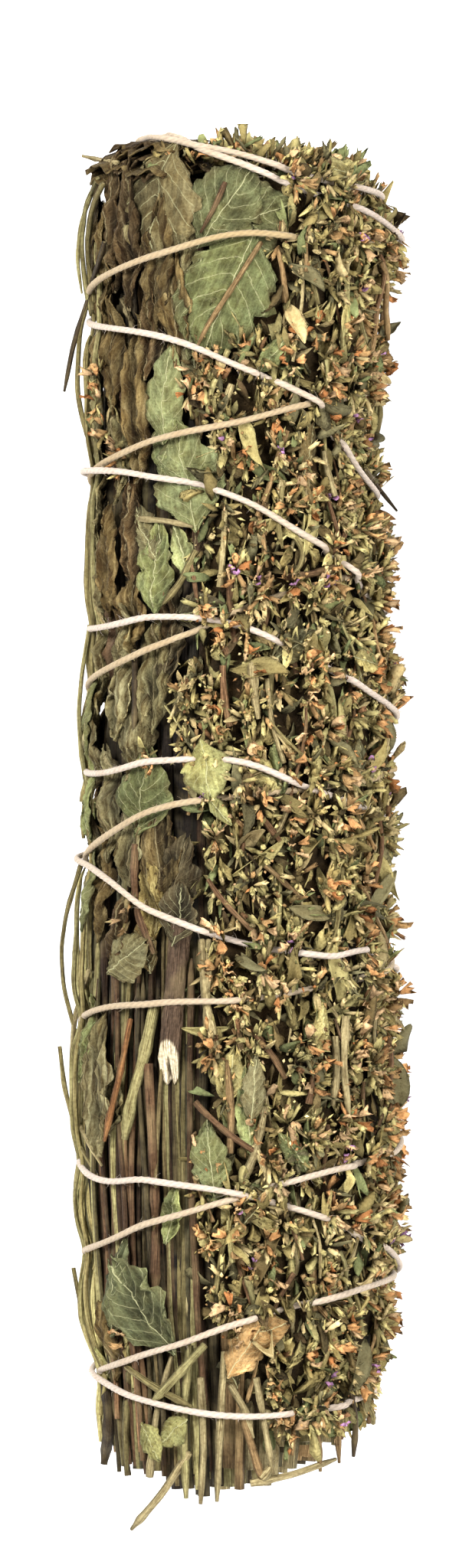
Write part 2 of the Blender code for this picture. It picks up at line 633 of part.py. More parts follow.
def make_top(name, theta_from, theta_to, y_from, y_to, groove, floor, draw):
    """One bunch of oregano tops: pairs of bracts up each of its spikes, and florets."""
    half_gap = math.degrees(GAP / 2 / TOP_CORE[0])
    cell = (theta_from + half_gap, theta_to - half_gap, y_from + GAP / 2, y_to - GAP / 2)
    body = mesh_object(name, *slab(cell, TOP_CORE, draw), "oregano")
    bunch = repeats(name + "_repeats")
    cell = (cell[0] + half_gap, cell[1] - half_gap, cell[2] + GAP / 2, cell[3] - GAP / 2)
    length, width, thickness = BLADE
    spikes = round((theta_to - theta_from) / SPIKE_WIDTH)
    tiers = round((y_to - y_from) / TIER_HEIGHT)
    for spike in range(spikes):
        for tier in range(tiers):
            place = spike + 0.5 + draw.uniform(-0.15, 0.15)
            theta = theta_from + place * (theta_to - theta_from) / spikes
            y = y_from + (tier + 0.35 + draw.uniform(-0.2, 0.2)) * (y_to - y_from) / tiers
            for side in (-1, 1):
                reach = length * draw.uniform(0.8, 1.15)
                bearings = np.radians(side * np.linspace(5, 115, 12) + draw.uniform(-5, 5))
                tip_theta = theta + np.degrees(np.sin(bearings) * reach / SEAT)
                tip_y = y + np.cos(bearings) * reach
                free = distance_to(TWINE_LINES, tip_theta, tip_y)
                free += distance_to(TWINE_LINES, (theta + tip_theta) / 2, (y + tip_y) / 2)
                best = int(free.argmax())
                root = (TOP_CORE[1] - 1.8, theta, y)
                tip = (TOP_CORE[1] + draw.uniform(3.0, 5.2), tip_theta[best], tip_y[best])
                mesh_object("bract", *blade(root, tip, width, thickness, cell), "oregano", bunch)
            if (spike + 2 * tier) % 4 == 0:
                shape = floret(theta + draw.uniform(-3, 3), y + 1.5, TOP_CORE[1] + 1.2, draw, cell)
                mesh_object("floret", *shape, "oregano", bunch)
    fuse(body, bunch)
    boolean(body, "DIFFERENCE", groove)
    if min(v.co.z for v in body.data.vertices) < 0:
        boolean(body, "DIFFERENCE", floor)
    drop_scraps(body)
    return body


def make_tops(groove, floor, draw):
    number = 1
    for y_from, y_to, theta_from in TOP_STRETCHES:
        width = (TOPS_END_THETA - theta_from) / TOPS_ROUND
        for part in range(TOPS_ROUND):
            name = f"flowering_top_{number:02d}"
            start = theta_from + part * width
            for _ in range(REDRAWS):
                body = make_top(name, start, start + width, y_from, y_to, groove, floor, draw)
                if is_closed(body):
                    break
                remove(body)
            number += 1


def make_tip_spray(groove, draw):
    """The oregano that fills the end of the bundle, its bracts standing towards +Y."""
    rho, y_from, y_to = TIP_CORE
    theta = np.arange(TIP_TURNS) * 360 / TIP_TURNS
    drum = np.vstack([on_bundle(rho, theta, y_from), on_bundle(rho, theta, y_to)])
    faces = [tuple(range(TIP_TURNS)), tuple(range(2 * TIP_TURNS - 1, TIP_TURNS - 1, -1))]
    for i in range(TIP_TURNS):
        j = (i + 1) % TIP_TURNS
        faces.append((i, i + TIP_TURNS, j + TIP_TURNS, j))
    body = mesh_object("tip_spray", drum, faces, "oregano")
    bunch = repeats("tip_repeats")
    root_y, wide_y, tip_y = TIP_BRACT
    half_width = BLADE[1] / 2
    for count, rho, (first, last) in TIP_RINGS:
        for at in range(count):
            theta = (at + draw.uniform(0.2, 0.8)) * 360 / count
            if not first < theta < last:
                continue
            spread = math.degrees(half_width / (rho + 0.6))
            rows = (
                (rho * 0.8, theta, root_y), (rho + 2.2, theta, tip_y - draw.uniform(0, 1.5)),
                (rho + 0.6, theta + spread, wide_y), (rho + 0.6, theta - spread, wide_y),
                (rho - 0.6, theta, wide_y),
            )
            points = on_bundle(*np.array(rows).T)
            mesh_object("bract", points, BLADE_FACES, "oregano", bunch)
    fuse(body, bunch)
    boolean(body, "DIFFERENCE", groove)
    drop_scraps(body)


def twine_line():
    """The twine's centre line, in metres: on the squeezed surface, and humped where the
    second layer passes over the first."""
    theta, rho, y, layer = twine_route(TWINE_STEP).T
    radius = squeezed(rho, theta, y) + TWINE_RADIUS + TWINE_SEAT_GAP
    over = distance_to(FIRST_LAYER, theta, y)
    radius += layer * HUMP * np.exp(-(over / HUMP_WIDTH) ** 2)
    turn = np.radians(theta)
    return np.column_stack([AXIS_X + radius * np.sin(turn), y, AXIS_Z + radius * np.cos(turn)]) * MM


def wound_twine(name, line, extra):
    """The wound twine with its knot and tails as one body, made thicker by extra."""
    radius = TWINE_RADIUS + extra
    made = mesh_object(name, *tube(line, radius * MM, TWINE_SIDES), "cotton")
    bunch = repeats("knot")
    centre = on_bundle(SEAT + 1.0, KNOT_THETA, KNOT_Y - 0.5)[0]
    knot = bpy.data.meshes.new("knot")
    shape = bmesh.new()
    bmesh.ops.create_icosphere(shape, subdivisions=2, radius=(KNOT_RADIUS + extra) * MM)
    for vert in shape.verts:
        vert.co.y *= 1.35
        vert.co += Vector(centre)
    shape.to_mesh(knot)
    shape.free()
    bunch.objects.link(bpy.data.objects.new("knot", knot))
    for bearing in (-150, -205):
        share = np.linspace(0, 1, 4)
        along = TAIL_LENGTH * share + extra * (share == 1)
        tail = on_bundle(SEAT + 2.2 + 0.5 * share,
                         KNOT_THETA + np.degrees(math.sin(math.radians(bearing)) * along / SEAT),
                         KNOT_Y - 0.5 + math.cos(math.radians(bearing)) * along)
        mesh_object("tail", *tube(tail, radius * MM, TWINE_SIDES), "cotton", bunch)
    fuse(made, bunch)
    drop_scraps(made)
    return made


def main():
    for old in list(bpy.data.objects):
        bpy.data.objects.remove(old)
    draw = random.Random(SEED)
    line = twine_line()
    groove = wound_twine("groove", line, TWINE_CLEARANCE)
    box = [(x, y, z) for x in (-1, 1) for y in (-1, 1) for z in (-1, 0)]
    sides = [(0, 1, 3, 2), (4, 6, 7, 5), (0, 4, 5, 1), (2, 3, 7, 6), (0, 2, 6, 4), (1, 5, 7, 3)]
    floor = mesh_object("floor", np.array(box), sides, "cotton")
    make_packed_stems(draw)
    make_outer_stems(draw)
    make_stems(groove)
    make_woody_stem(groove)
    make_leaves(groove)
    make_tip_leaves(groove)
    make_tops(groove, floor, draw)
    make_tip_spray(groove, draw)
    wound_twine("twine", line, 0)
    remove(groove)
    remove(floor)


main()
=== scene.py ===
"""Dried herb smudge bundle, dressed: plied twine over crumpled mint leaves and ribbed stems on
one side, and over thousands of small oregano bracts, calyces and dried florets on the other.

A place on the bundle is given as rho, theta and y, in millimetres and degrees: the distance
from the axis before the bundle is squeezed, the angle round it with 0 facing up and 90
towards +X, and the distance along it. Meshes are made metres as the last step.
"""

import math

import bpy
import numpy as np
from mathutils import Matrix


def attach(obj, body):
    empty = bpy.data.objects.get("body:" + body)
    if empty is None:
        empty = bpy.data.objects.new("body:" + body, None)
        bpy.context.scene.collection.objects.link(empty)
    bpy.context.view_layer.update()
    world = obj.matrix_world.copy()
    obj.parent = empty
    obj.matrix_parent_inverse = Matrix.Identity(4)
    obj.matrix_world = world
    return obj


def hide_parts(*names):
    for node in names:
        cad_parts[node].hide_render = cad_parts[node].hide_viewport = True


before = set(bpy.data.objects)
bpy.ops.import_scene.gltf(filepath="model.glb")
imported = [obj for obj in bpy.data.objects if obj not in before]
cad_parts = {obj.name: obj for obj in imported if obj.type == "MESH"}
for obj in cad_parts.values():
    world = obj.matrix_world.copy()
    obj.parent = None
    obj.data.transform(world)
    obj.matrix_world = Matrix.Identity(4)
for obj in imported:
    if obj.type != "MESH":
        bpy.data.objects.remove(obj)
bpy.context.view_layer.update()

bl_info = {
    "name": "Herb smudge bundle",
    "version": (1, 0, 0),
    "blender": (4, 5, 0),
    "location": "View3D > Sidebar > Herbs",
    "description": "Builds the visible pieces of a dried, twine wound bundle of mint and oregano",
    "category": "Object",
}

MM = 0.001

# The bundle's form, as in the part's source.
SEAT = 24.0
AXIS_X = 1.1
AXIS_Z = 22.2
FLAT_DEPTH = 21.6
FLAT_SHARPNESS = 14
TWINE_RADIUS = 0.53
TWINE_SEAT_GAP = 0.1
PINCH_DEPTH = 1.3
PINCH_WIDTH = 2.4
PINCH_RHO = (8.0, 21.0)
HUMP = 1.36
HUMP_WIDTH = 1.9
LEFT_GIRTH = (
    (-103, 0.86), (-86, 0.91), (-73, 1.01), (-45, 1.06), (-20, 1.03),
    (0, 1.01), (40, 0.98), (90, 0.99), (101, 0.97), (107, 0.84),
)
RIGHT_GIRTH = (
    (-103, 0.82), (-90, 0.92), (-75, 1.0), (-58, 1.07), (-40, 1.06), (-12, 0.99),
    (20, 1.04), (38, 0.97), (56, 0.90), (72, 0.97), (88, 1.04), (98, 0.94), (107, 0.66),
)
CUT_Y = -102.5
CUT_ARC = 10.5
CUT_LOWEST_X = -3.0

# The twine's route, as in the part's source: y at theta -90, -33, 0, 33 and 90 of each turn.
WINDING_STATIONS = (-90, -33, 0, 33, 90)
CLIMBING = (
    (-83.9, -79.9, -75.6, -72.3, -69.1),
    (-65.5, -60.3, -56.4, -52.6, -48.5),
    (-30.2, -27.0, -26.4, -24.5, -20.8),
    (-5.0, 2.6, 4.6, 6.0, 8.7),
    (21.6, 27.6, 32.9, 36.9, 40.6),
    (53.6, 59.2, 61.7, 64.8, 67.7),
    (82.0, 87.2, 90.3, 89.6, 89.8),
)
DESCENDING = (
    (77.6, 74.9, 70.1, 64.4, 51.0),
    (54.5, 53.2, 50.0, 43.2, 33.5),
    (30.4, 32.0, 30.6, 24.9, 17.0),
    (8.4, 10.0, 9.9, 5.2, 1.4),
    (-5.0, -13.1, -17.6, -19.7, -21.6),
    (-51.1, -54.0, -55.9, -59.8, -67.1),
    (-83.9, -88.4, -89.9, -89.2, -87.0),
)
# The two turns over the tip, as theta, rho and y.
OVER_THE_TIP = (
    (-180, 24.0, 97.0), (-135, 21.5, 103.0), (-105, 18.0, 105.4), (-75, 16.5, 105.8),
    (-43, 20.8, 105.4), (-20, 23.6, 104.0), (0, 24.0, 102.6), (33, 24.0, 99.2),
    (70, 24.0, 97.4), (110, 24.0, 97.0), (180, 24.0, 99.6), (225, 20.5, 103.4),
    (262, 15.0, 105.6), (292, 13.4, 106.0), (322, 18.8, 105.6), (344, 23.4, 103.2),
    (360, 24.0, 101.2), (385, 24.0, 97.6), (425, 24.0, 93.6), (480, 24.0, 88.0),
    (540, 24.0, 82.0),
)
KNOT_THETA = 135
KNOT_Y = -86.4

# Where the oregano tops begin, as y and theta; they reach round to TOPS_END.
TOPS_START = (
    (-93, 13), (-88, 6), (-79, -6), (-67, -13), (-56, -16), (-44, -8), (-32, -11), (-20, -13),
    (-8, -15), (0, -18), (7, -20), (14, -22), (21, -25), (27, -22), (37, -19), (45, -16),
    (54, -9), (61, -12), (68, -16), (73, -10), (76, 3), (80, 9), (92, 15), (98, 14),
)
TOPS_END = 225.0

# The underside, on which fewer flower heads are made, and their share there.
UNDERSIDE = (118, 250)
UNDERSIDE_SHARE = 0.28

# How far the flower heads on the right stand out or lie in, in mm, as y and that.
RIGHT_FLUFF = (
    (-95, -2.4), (-88, -1.6), (-80, -1.3), (-72, 0.6), (-65, 0.7), (-60, 0), (-53, -1.4),
    (-48, 0.8), (-39, -0.9), (-20, 0.2), (-8, -0.8), (-2, 0), (6, -1.8), (13, -1.5), (20, 1.4),
    (29, -1.8), (36, -0.4), (42, 0.6), (55, 0.6), (62, -2.6), (70, -0.6), (79, -2.6),
    (87, -0.6), (92, 0.5), (97, 1.2), (100, -1.2), (103, -2.4),
)

# The thick branch: its place round the bundle and where its slant cut ends.
WOOD_THETA = -24.5
WOOD_END = -40.0

# Where herbs hide the twine: the turn, counted along the route from 0, and the x from the axis
# between which it is covered, on the upper side. Seven turns climb, two go over the tip and
# seven come down.
HIDDEN = (
    (0, 2.8, 11), (1, 0.6, 7.3), (1, 18.2, 23), (2, 0, 22), (3, -5.8, 27), (4, -8.4, 27),
    (5, 11.2, 27), (6, 8.7, 27), (7, 6.7, 17.7), (8, 5.4, 17.5), (9, 3.4, 5.6), (9, 13, 15.8),
    (9, 21.3, 27), (10, -9.4, -4), (10, 13.7, 15.8), (10, 18.8, 26), (11, -6.2, 1.3),
    (11, 6.2, 16.8), (12, -6.7, -2.4), (12, 8.6, 27), (13, -4.6, 8.8), (13, 20, 27),
    (14, 0.6, 8.5), (14, 13.9, 21.8), (15, 8.6, 14), (15, 16.9, 27),
)

# Herbs are heaped by HEAP over a hidden stretch of twine, and the twine sinks there by SUNK.
HEAP = 2.3
HEAP_WIDTH = 2.6
SUNK = 1.6

# The trough that holds herbs under the twine that shows: its depth below the centre line, the
# half width of its flat bottom, and how far off it is felt. At the tip the depth is along y.
HELD_DEPTH = 0.3
HELD_HALF_WIDTH = 0.5
HELD_REACH = 7.5
TIP_HELD_DEPTH = 0.65
TIP_HELD_HALF_WIDTH = 0.6
TIP_HELD_SLOPE = 1.2

# The twine's three plies turn once in each lay.
TWINE_LAY = 3.4

TONES = {
    "umber": (0.105, 0.072, 0.034),
    "olive_brown": (0.175, 0.132, 0.056),
    "grey_olive": (0.20, 0.185, 0.095),
    "sage": (0.27, 0.25, 0.135),
    "grey_dark": (0.09, 0.075, 0.042),
    "green": (0.225, 0.26, 0.11),
    "dull_green": (0.155, 0.17, 0.078),
    "deep_green": (0.105, 0.118, 0.058),
    "dusk": (0.165, 0.14, 0.068),
    "pale_green": (0.34, 0.385, 0.18),
    "fresh": (0.46, 0.47, 0.20),
    "tan": (0.46, 0.295, 0.13),
    "straw": (0.63, 0.52, 0.26),
    "straw_green": (0.53, 0.475, 0.205),
    "olive": (0.36, 0.30, 0.12),
    "rust": (0.21, 0.115, 0.055),
    "copper": (0.50, 0.23, 0.08),
    "bark": (0.10, 0.066, 0.042),
    "floret": (0.64, 0.35, 0.145),
    "floret_deep": (0.46, 0.20, 0.07),
    "floret_pale": (0.70, 0.49, 0.27),
    "petal": (0.40, 0.22, 0.42),
    "cream": (0.80, 0.70, 0.50),
}


def tone(name):
    return np.array(TONES[name])


# Layout of arrays


def eased(stations, y):
    """Value between given stations along y, easing in and out of each."""
    ys, values = np.array(stations, float).T
    at = np.clip(np.searchsorted(ys, y) - 1, 0, len(ys) - 2)
    return values[at] + (values[at + 1] - values[at]) * smooth(y, ys[at], ys[at + 1])


def smooth(value, low, high):
    """0 below low, 1 above high, and t * t * (3 - 2 t) between."""
    t = np.clip((value - low) / (high - low), 0, 1)
    return t * t * (3 - 2 * t)


def flow(points, step):
    """A curve through points by Catmull and Rom's formula, as rows, one about every step of
    the first column."""
    points = np.asarray(points, float)
    ends = np.vstack([2 * points[0] - points[1], points, 2 * points[-1] - points[-2]])
    rows = []
    for p0, p1, p2, p3 in zip(ends, ends[1:], ends[2:], ends[3:], strict=False):
        count = max(1, round(abs(p2[0] - p1[0]) / step))
        t = np.arange(count)[:, None] / count
        rows.append(0.5 * (2 * p1 + (p2 - p0) * t + (2 * p0 - 5 * p1 + 4 * p2 - p3) * t**2
                           + (3 * p1 - p0 - 3 * p2 + p3) * t**3))
    return np.vstack([*rows, points[-1:]])


def grid_of(rows, columns, first=-1):
    """u from 0 to 1 as a column, and v from first to 1 as a row."""
    return np.linspace(0, 1, rows)[:, None], np.linspace(first, 1, columns)[None, :]


def paired(across, along):
    """The run map's two numbers for each point."""
    return np.stack(np.broadcast_arrays(across, along), -1)


def unit(vectors):
    return vectors / np.linalg.norm(vectors, axis=1)[:, None]


def lengths_along(path):
    """How far each point of a path lies from its first, along it."""
    return np.concatenate([[0], np.cumsum(np.linalg.norm(np.diff(path, axis=0), axis=1))])


def resampled(path, way, at):
    """Points at distances along a path, and its direction in each."""
    line = np.stack([np.interp(at, way, path[:, k]) for k in range(3)], -1)
    return line, unit(np.gradient(line, axis=0))


def rings_round(line, side, up, angle, radius):
    """A ring of points round each point of a line: radius * (cos(angle) side + sin(angle) up)."""
    turned = np.cos(angle)[..., None] * side[:, None, :] + np.sin(angle)[..., None] * up[:, None, :]
    return line[:, None, :] + radius[..., None] * turned


def twine_route(step):
    """theta, rho, y and layer along the twine: the climb, twice over the tip, the descent."""
    climb = [(KNOT_THETA - 360, SEAT, KNOT_Y)]
    for turn, heights in enumerate(CLIMBING):
        climb += [(t + 360 * turn, SEAT, y) for t, y in zip(WINDING_STATIONS, heights, strict=True)]
    first = 360 * len(CLIMBING)
    over = [(first + t, rho, y) for t, rho, y in OVER_THE_TIP]
    down = []
    for turn, heights in enumerate(DESCENDING):
        start = first + 720 + 360 * turn
        down += [(start + t, SEAT, y) for t, y in zip(WINDING_STATIONS, heights, strict=True)]
    down.append((down[-1][0] - 90 + KNOT_THETA, SEAT, KNOT_Y - 1.0))
    route = flow(climb + over + down, step)
    layer = smooth(route[:, 0], over[1][0], over[3][0])
    return np.column_stack([route, layer])


class Field:
    """Values near the twine on a grid unrolled from the bundle, read between its nodes."""

    TURN = 288
    PITCH = 0.5
    LOW = -113.0
    ROWS = 453
    WINDOW = 16
    FAR = 99.0
    AS_NEAR = 0.35

    def __init__(self, which, value=None):
        """distance is the way to the nearest of the points of ROUTE that which picks, and value
        the largest value of those that are as near."""
        theta, y = ROUTE[which, 0], ROUTE[which, 2]
        column = np.mod(theta, 360) / 360 * self.TURN
        row = (y - self.LOW) / self.PITCH
        arc = 2 * math.pi * SEAT / self.TURN
        self.distance = np.full((self.ROWS, self.TURN), self.FAR)
        self.value = np.zeros((self.ROWS, self.TURN))
        reach = range(-self.WINDOW, self.WINDOW + 1)
        base_column, base_row = np.floor(column).astype(int), np.floor(row).astype(int)
        for settle in (False, True):
            for i in reach:
                for j in reach:
                    r = np.clip(base_row + i, 0, self.ROWS - 1)
                    c = (base_column + j) % self.TURN
                    way = np.hypot((base_row + i - row) * self.PITCH, (base_column + j - column) * arc)
                    if not settle:
                        np.minimum.at(self.distance, (r, c), way)
                    elif value is not None:
                        near = way <= self.distance[r, c] + self.AS_NEAR
                        np.maximum.at(self.value, (r[near], c[near]), value[near])

    def read(self, grid, theta, y):
        """grid between its four nodes nearest to theta and y."""
        column = np.mod(theta, 360) / 360 * self.TURN
        row = np.clip((y - self.LOW) / self.PITCH, 0, self.ROWS - 1.001)
        c, r = np.floor(column).astype(int), np.floor(row).astype(int)
        a, b = column - c, row - r
        c, d = c % self.TURN, (c + 1) % self.TURN
        return ((grid[r, c] * (1 - a) + grid[r, d] * a) * (1 - b)
                + (grid[r + 1, c] * (1 - a) + grid[r + 1, d] * a) * b)

    def way(self, theta, y):
        return self.read(self.distance, theta, y)


# The route in steps of about 1.2 degrees, and which of its points lie on the side, not the tip.
ROUTE = twine_route(1.2)
ON_SIDE = ROUTE[:, 1] > SEAT - 1.5
LINES = Field(ON_SIDE)


def squeezed(rho, theta, y, drawn_in=True):
    """Real distance from the axis: rho times the girth, pressed flat below, less the valley
    depth * exp(-(distance to the twine / width)**2)."""
    side = np.sin(np.radians(theta))
    down = -np.cos(np.radians(theta))
    girth = eased(LEFT_GIRTH, y) * (1 - side) / 2 + eased(RIGHT_GIRTH, y) * (1 + side) / 2
    under = np.clip(down, 0, 1) ** 2
    ends = np.minimum(girth, 1.0)
    girth = girth * (1 - under) + np.where(np.abs(y) > 80, ends, 1.0) * under
    pressed_to = FLAT_DEPTH / (SEAT * np.maximum(down, 0.05))
    girth = girth * (1 + pressed_to ** -FLAT_SHARPNESS) ** (-1 / FLAT_SHARPNESS)
    if not drawn_in:
        return rho * girth
    depth = PINCH_DEPTH * smooth(rho, *PINCH_RHO)
    return rho * girth - depth * np.exp(-(LINES.way(theta, y) / PINCH_WIDTH) ** 2)


def placed(radius, theta, y):
    """x, y and z of points at a real distance from the axis."""
    turn = np.radians(theta)
    return np.stack([AXIS_X + radius * np.sin(turn), y + 0 * radius, AXIS_Z + radius * np.cos(turn)], -1)


def on_bundle(rho, theta, y, drawn_in=True):
    rho, theta, y = np.broadcast_arrays(*(np.asarray(v, float) for v in (rho, theta, y)))
    return placed(squeezed(rho, theta, y, drawn_in), theta, y)


def twine_course():
    """Real radius of the twine's centre line along ROUTE: on the squeezed surface, and humped
    where the second layer crosses the first."""
    theta, rho, y, layer = ROUTE.T
    below = Field(ON_SIDE & (layer < 0.5))
    radius = squeezed(rho, theta, y) + TWINE_RADIUS + TWINE_SEAT_GAP
    return radius + layer * HUMP * np.exp(-(below.way(theta, y) / HUMP_WIDTH) ** 2)


COURSE = twine_course()


def covered():
    """Which points of the route herbs hide, by turn and by x."""
    turn = np.floor((ROUTE[:, 0] + 180) / 360)
    x = COURSE * np.sin(np.radians(ROUTE[:, 0]))
    upper = np.cos(np.radians(ROUTE[:, 0])) > 0
    found = np.zeros(len(ROUTE), bool)
    for which, low, high in HIDDEN:
        found |= upper & (turn == which) & (x > low) & (x < high)
    return found


UNDER_HERBS = covered()
SHOWN = ON_SIDE & ~UNDER_HERBS
HELD = Field(SHOWN, COURSE[SHOWN])
BURIED = Field(ON_SIDE & UNDER_HERBS)


def tucked(points, slope=1.15):
    """Herbs held down by the twine: no point stands higher than a trough along it, whose depth
    is just over the twine's lower side and whose walls rise by slope with the distance."""
    x, z = points[..., 0] - AXIS_X, points[..., 2] - AXIS_Z
    theta, radius, y = np.degrees(np.arctan2(x, z)), np.hypot(x, z), points[..., 1]
    way = HELD.way(theta, y)
    limit = HELD.read(HELD.value, theta, y) - HELD_DEPTH + slope * np.maximum(way - HELD_HALF_WIDTH, 0)
    kept = np.where(way < HELD_REACH, np.minimum(radius, limit), radius)
    share = (kept / np.maximum(radius, 1e-6))[..., None]
    centre = np.array([AXIS_X, 0, AXIS_Z])
    return np.where([True, False, True], centre + (points - centre) * share, points)


def under_tip_twine(points, top):
    """Herbs at the leafy end pressed down along y: none stands beyond the twine that passes over
    it, nor beyond y = top."""
    over = ROUTE[:, 1] < SEAT - 0.3
    twine = placed(COURSE, ROUTE[:, 0], ROUTE[:, 2])[over]
    flat = points.reshape(-1, 3).copy()
    way = np.hypot(flat[:, None, 0] - twine[None, :, 0], flat[:, None, 2] - twine[None, :, 2])
    walls = TIP_HELD_SLOPE * np.maximum(way - TIP_HELD_HALF_WIDTH, 0)
    limit = (twine[None, :, 1] - TIP_HELD_DEPTH + walls).min(1)
    flat[:, 1] = np.minimum(flat[:, 1], np.minimum(limit, top))
    return flat.reshape(points.shape)


def heaped(theta, y):
    """How far herbs are lifted so that they cover a hidden stretch of the twine."""
    return HEAP * np.exp(-(BURIED.way(theta, y) / HEAP_WIDTH) ** 2)


def rested(points, height=0.05):
    """Nothing reaches below the table, nor below a height over it for a path thickened later."""
    points = points.copy()
    points[..., 2] = np.maximum(points[..., 2], height)
    return points


# Meshes


def halved(index):
    """Two triangles for each cell of a grid of point numbers."""
    a, b, c, d = index[:-1, :-1], index[:-1, 1:], index[1:, 1:], index[1:, :-1]
    return np.vstack([np.stack(corners, -1).reshape(-1, 3) for corners in ((a, b, c), (a, c, d))])


def sheet_faces(rows, columns):
    return halved(np.arange(rows * columns).reshape(rows, columns))


def closed_sheet(upper, lower):
    """Two sheets of one grid joined along its border: the upper one's points, then the lower
    one's inner points, and the triangles of both."""
    rows, columns, _ = upper.shape
    over = np.arange(rows * columns).reshape(rows, columns)
    under = over.copy()
    inner = under[1:-1, 1:-1]
    inner[:] = over.size + np.arange(inner.size).reshape(inner.shape)
    points = np.vstack([upper.reshape(-1, 3), lower[1:-1, 1:-1].reshape(-1, 3)])
    return points, np.vstack([halved(over)[:, ::-1], halved(under)])


def tube_faces(rings, sides):
    """Triangles of a tube with a pole at each end, stored after its rings."""
    ring = np.arange(rings * sides).reshape(rings, sides)
    following = np.roll(ring, -1, axis=1)
    first_pole = np.full(sides, rings * sides)
    caps = [np.stack([following[0], ring[0], first_pole], -1),
            np.stack([ring[-1], following[-1], first_pole + 1], -1)]
    return np.vstack([halved(np.hstack([ring, ring[:, :1]])), *caps])


def gather(parts):
    """Joins parts, each of points, faces, tints and runs, into one."""
    joined = [[], [], [], []]
    count = 0
    for points, faces, tints, runs in parts:
        tints = np.broadcast_to(tints, points.shape).reshape(-1, 3)
        part = (points.reshape(-1, 3), faces + count, tints, runs.reshape(-1, 2))
        for rows, more in zip(joined, part, strict=True):
            rows.append(more)
        count += len(tints)
    return [np.vstack(rows) for rows in joined]


def linked(name, data):
    """A new object in the scene."""
    made = bpy.data.objects.new(name, data)
    bpy.context.scene.collection.objects.link(made)
    return made


def piece(name, parts, finish, replaces=(), thick=0.0):
    """One mesh piece of the bundle from parts in millimetres. Its attribute tint is the colour,
    and its UV map run says how far each point lies across and along its stem, leaf or strand."""
    points, faces, tints, runs = gather(parts)
    mesh = bpy.data.meshes.new(name)
    mesh.vertices.add(len(points))
    mesh.vertices.foreach_set("co", (points * MM).astype(np.float32).ravel())
    mesh.loops.add(faces.size)
    mesh.loops.foreach_set("vertex_index", faces.astype(np.int32).ravel())
    mesh.polygons.add(len(faces))
    mesh.polygons.foreach_set("loop_start", np.arange(0, faces.size, 3, dtype=np.int32))
    mesh.polygons.foreach_set("use_smooth", np.ones(len(faces), bool))
    mesh.update(calc_edges=True)
    colour = mesh.attributes.new("tint", "FLOAT_COLOR", "POINT")
    opaque = np.column_stack([tints, np.ones(len(tints))]).astype(np.float32)
    colour.data.foreach_set("color", opaque.ravel())
    run = mesh.uv_layers.new(name="run")
    run.data.foreach_set("uv", runs[faces.ravel()].astype(np.float32).ravel())
    mesh.materials.append(finish)
    made = linked(name, mesh)
    if thick:
        solid = made.modifiers.new("thickness", "SOLIDIFY")
        solid.thickness = thick * MM
        solid.offset = -1
    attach(made, "root")
    if replaces:
        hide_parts(*replaces)


def nodes_named(start):
    return sorted(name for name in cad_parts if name.startswith(start))


def numbered(name, *numbers):
    """Names of nodes that end in a number of two digits."""
    return [f"{name}_{number:02d}" for number in numbers]


# Shader expressions


class Value:
    """A number in a material's tree; arithmetic on it adds Math nodes."""

    def __init__(self, shader, socket):
        self.shader = shader
        self.socket = socket

    def math(self, operation, *others):
        node = self.shader.add("ShaderNodeMath", {"operation": operation}, 0, self, *others)
        return Value(self.shader, node)

    def __add__(self, other):
        return self.math("ADD", other)

    def __mul__(self, other):
        return self.math("MULTIPLY", other)

    def __sub__(self, other):
        return self.math("SUBTRACT", other)

    def __rsub__(self, other):
        node = self.shader.add("ShaderNodeMath", {"operation": "SUBTRACT"}, 0, other, self)
        return Value(self.shader, node)

    __radd__ = __add__
    __rmul__ = __mul__

    def clamped(self):
        node = self.shader.add("ShaderNodeClamp", {}, 0, self)
        return Value(self.shader, node)


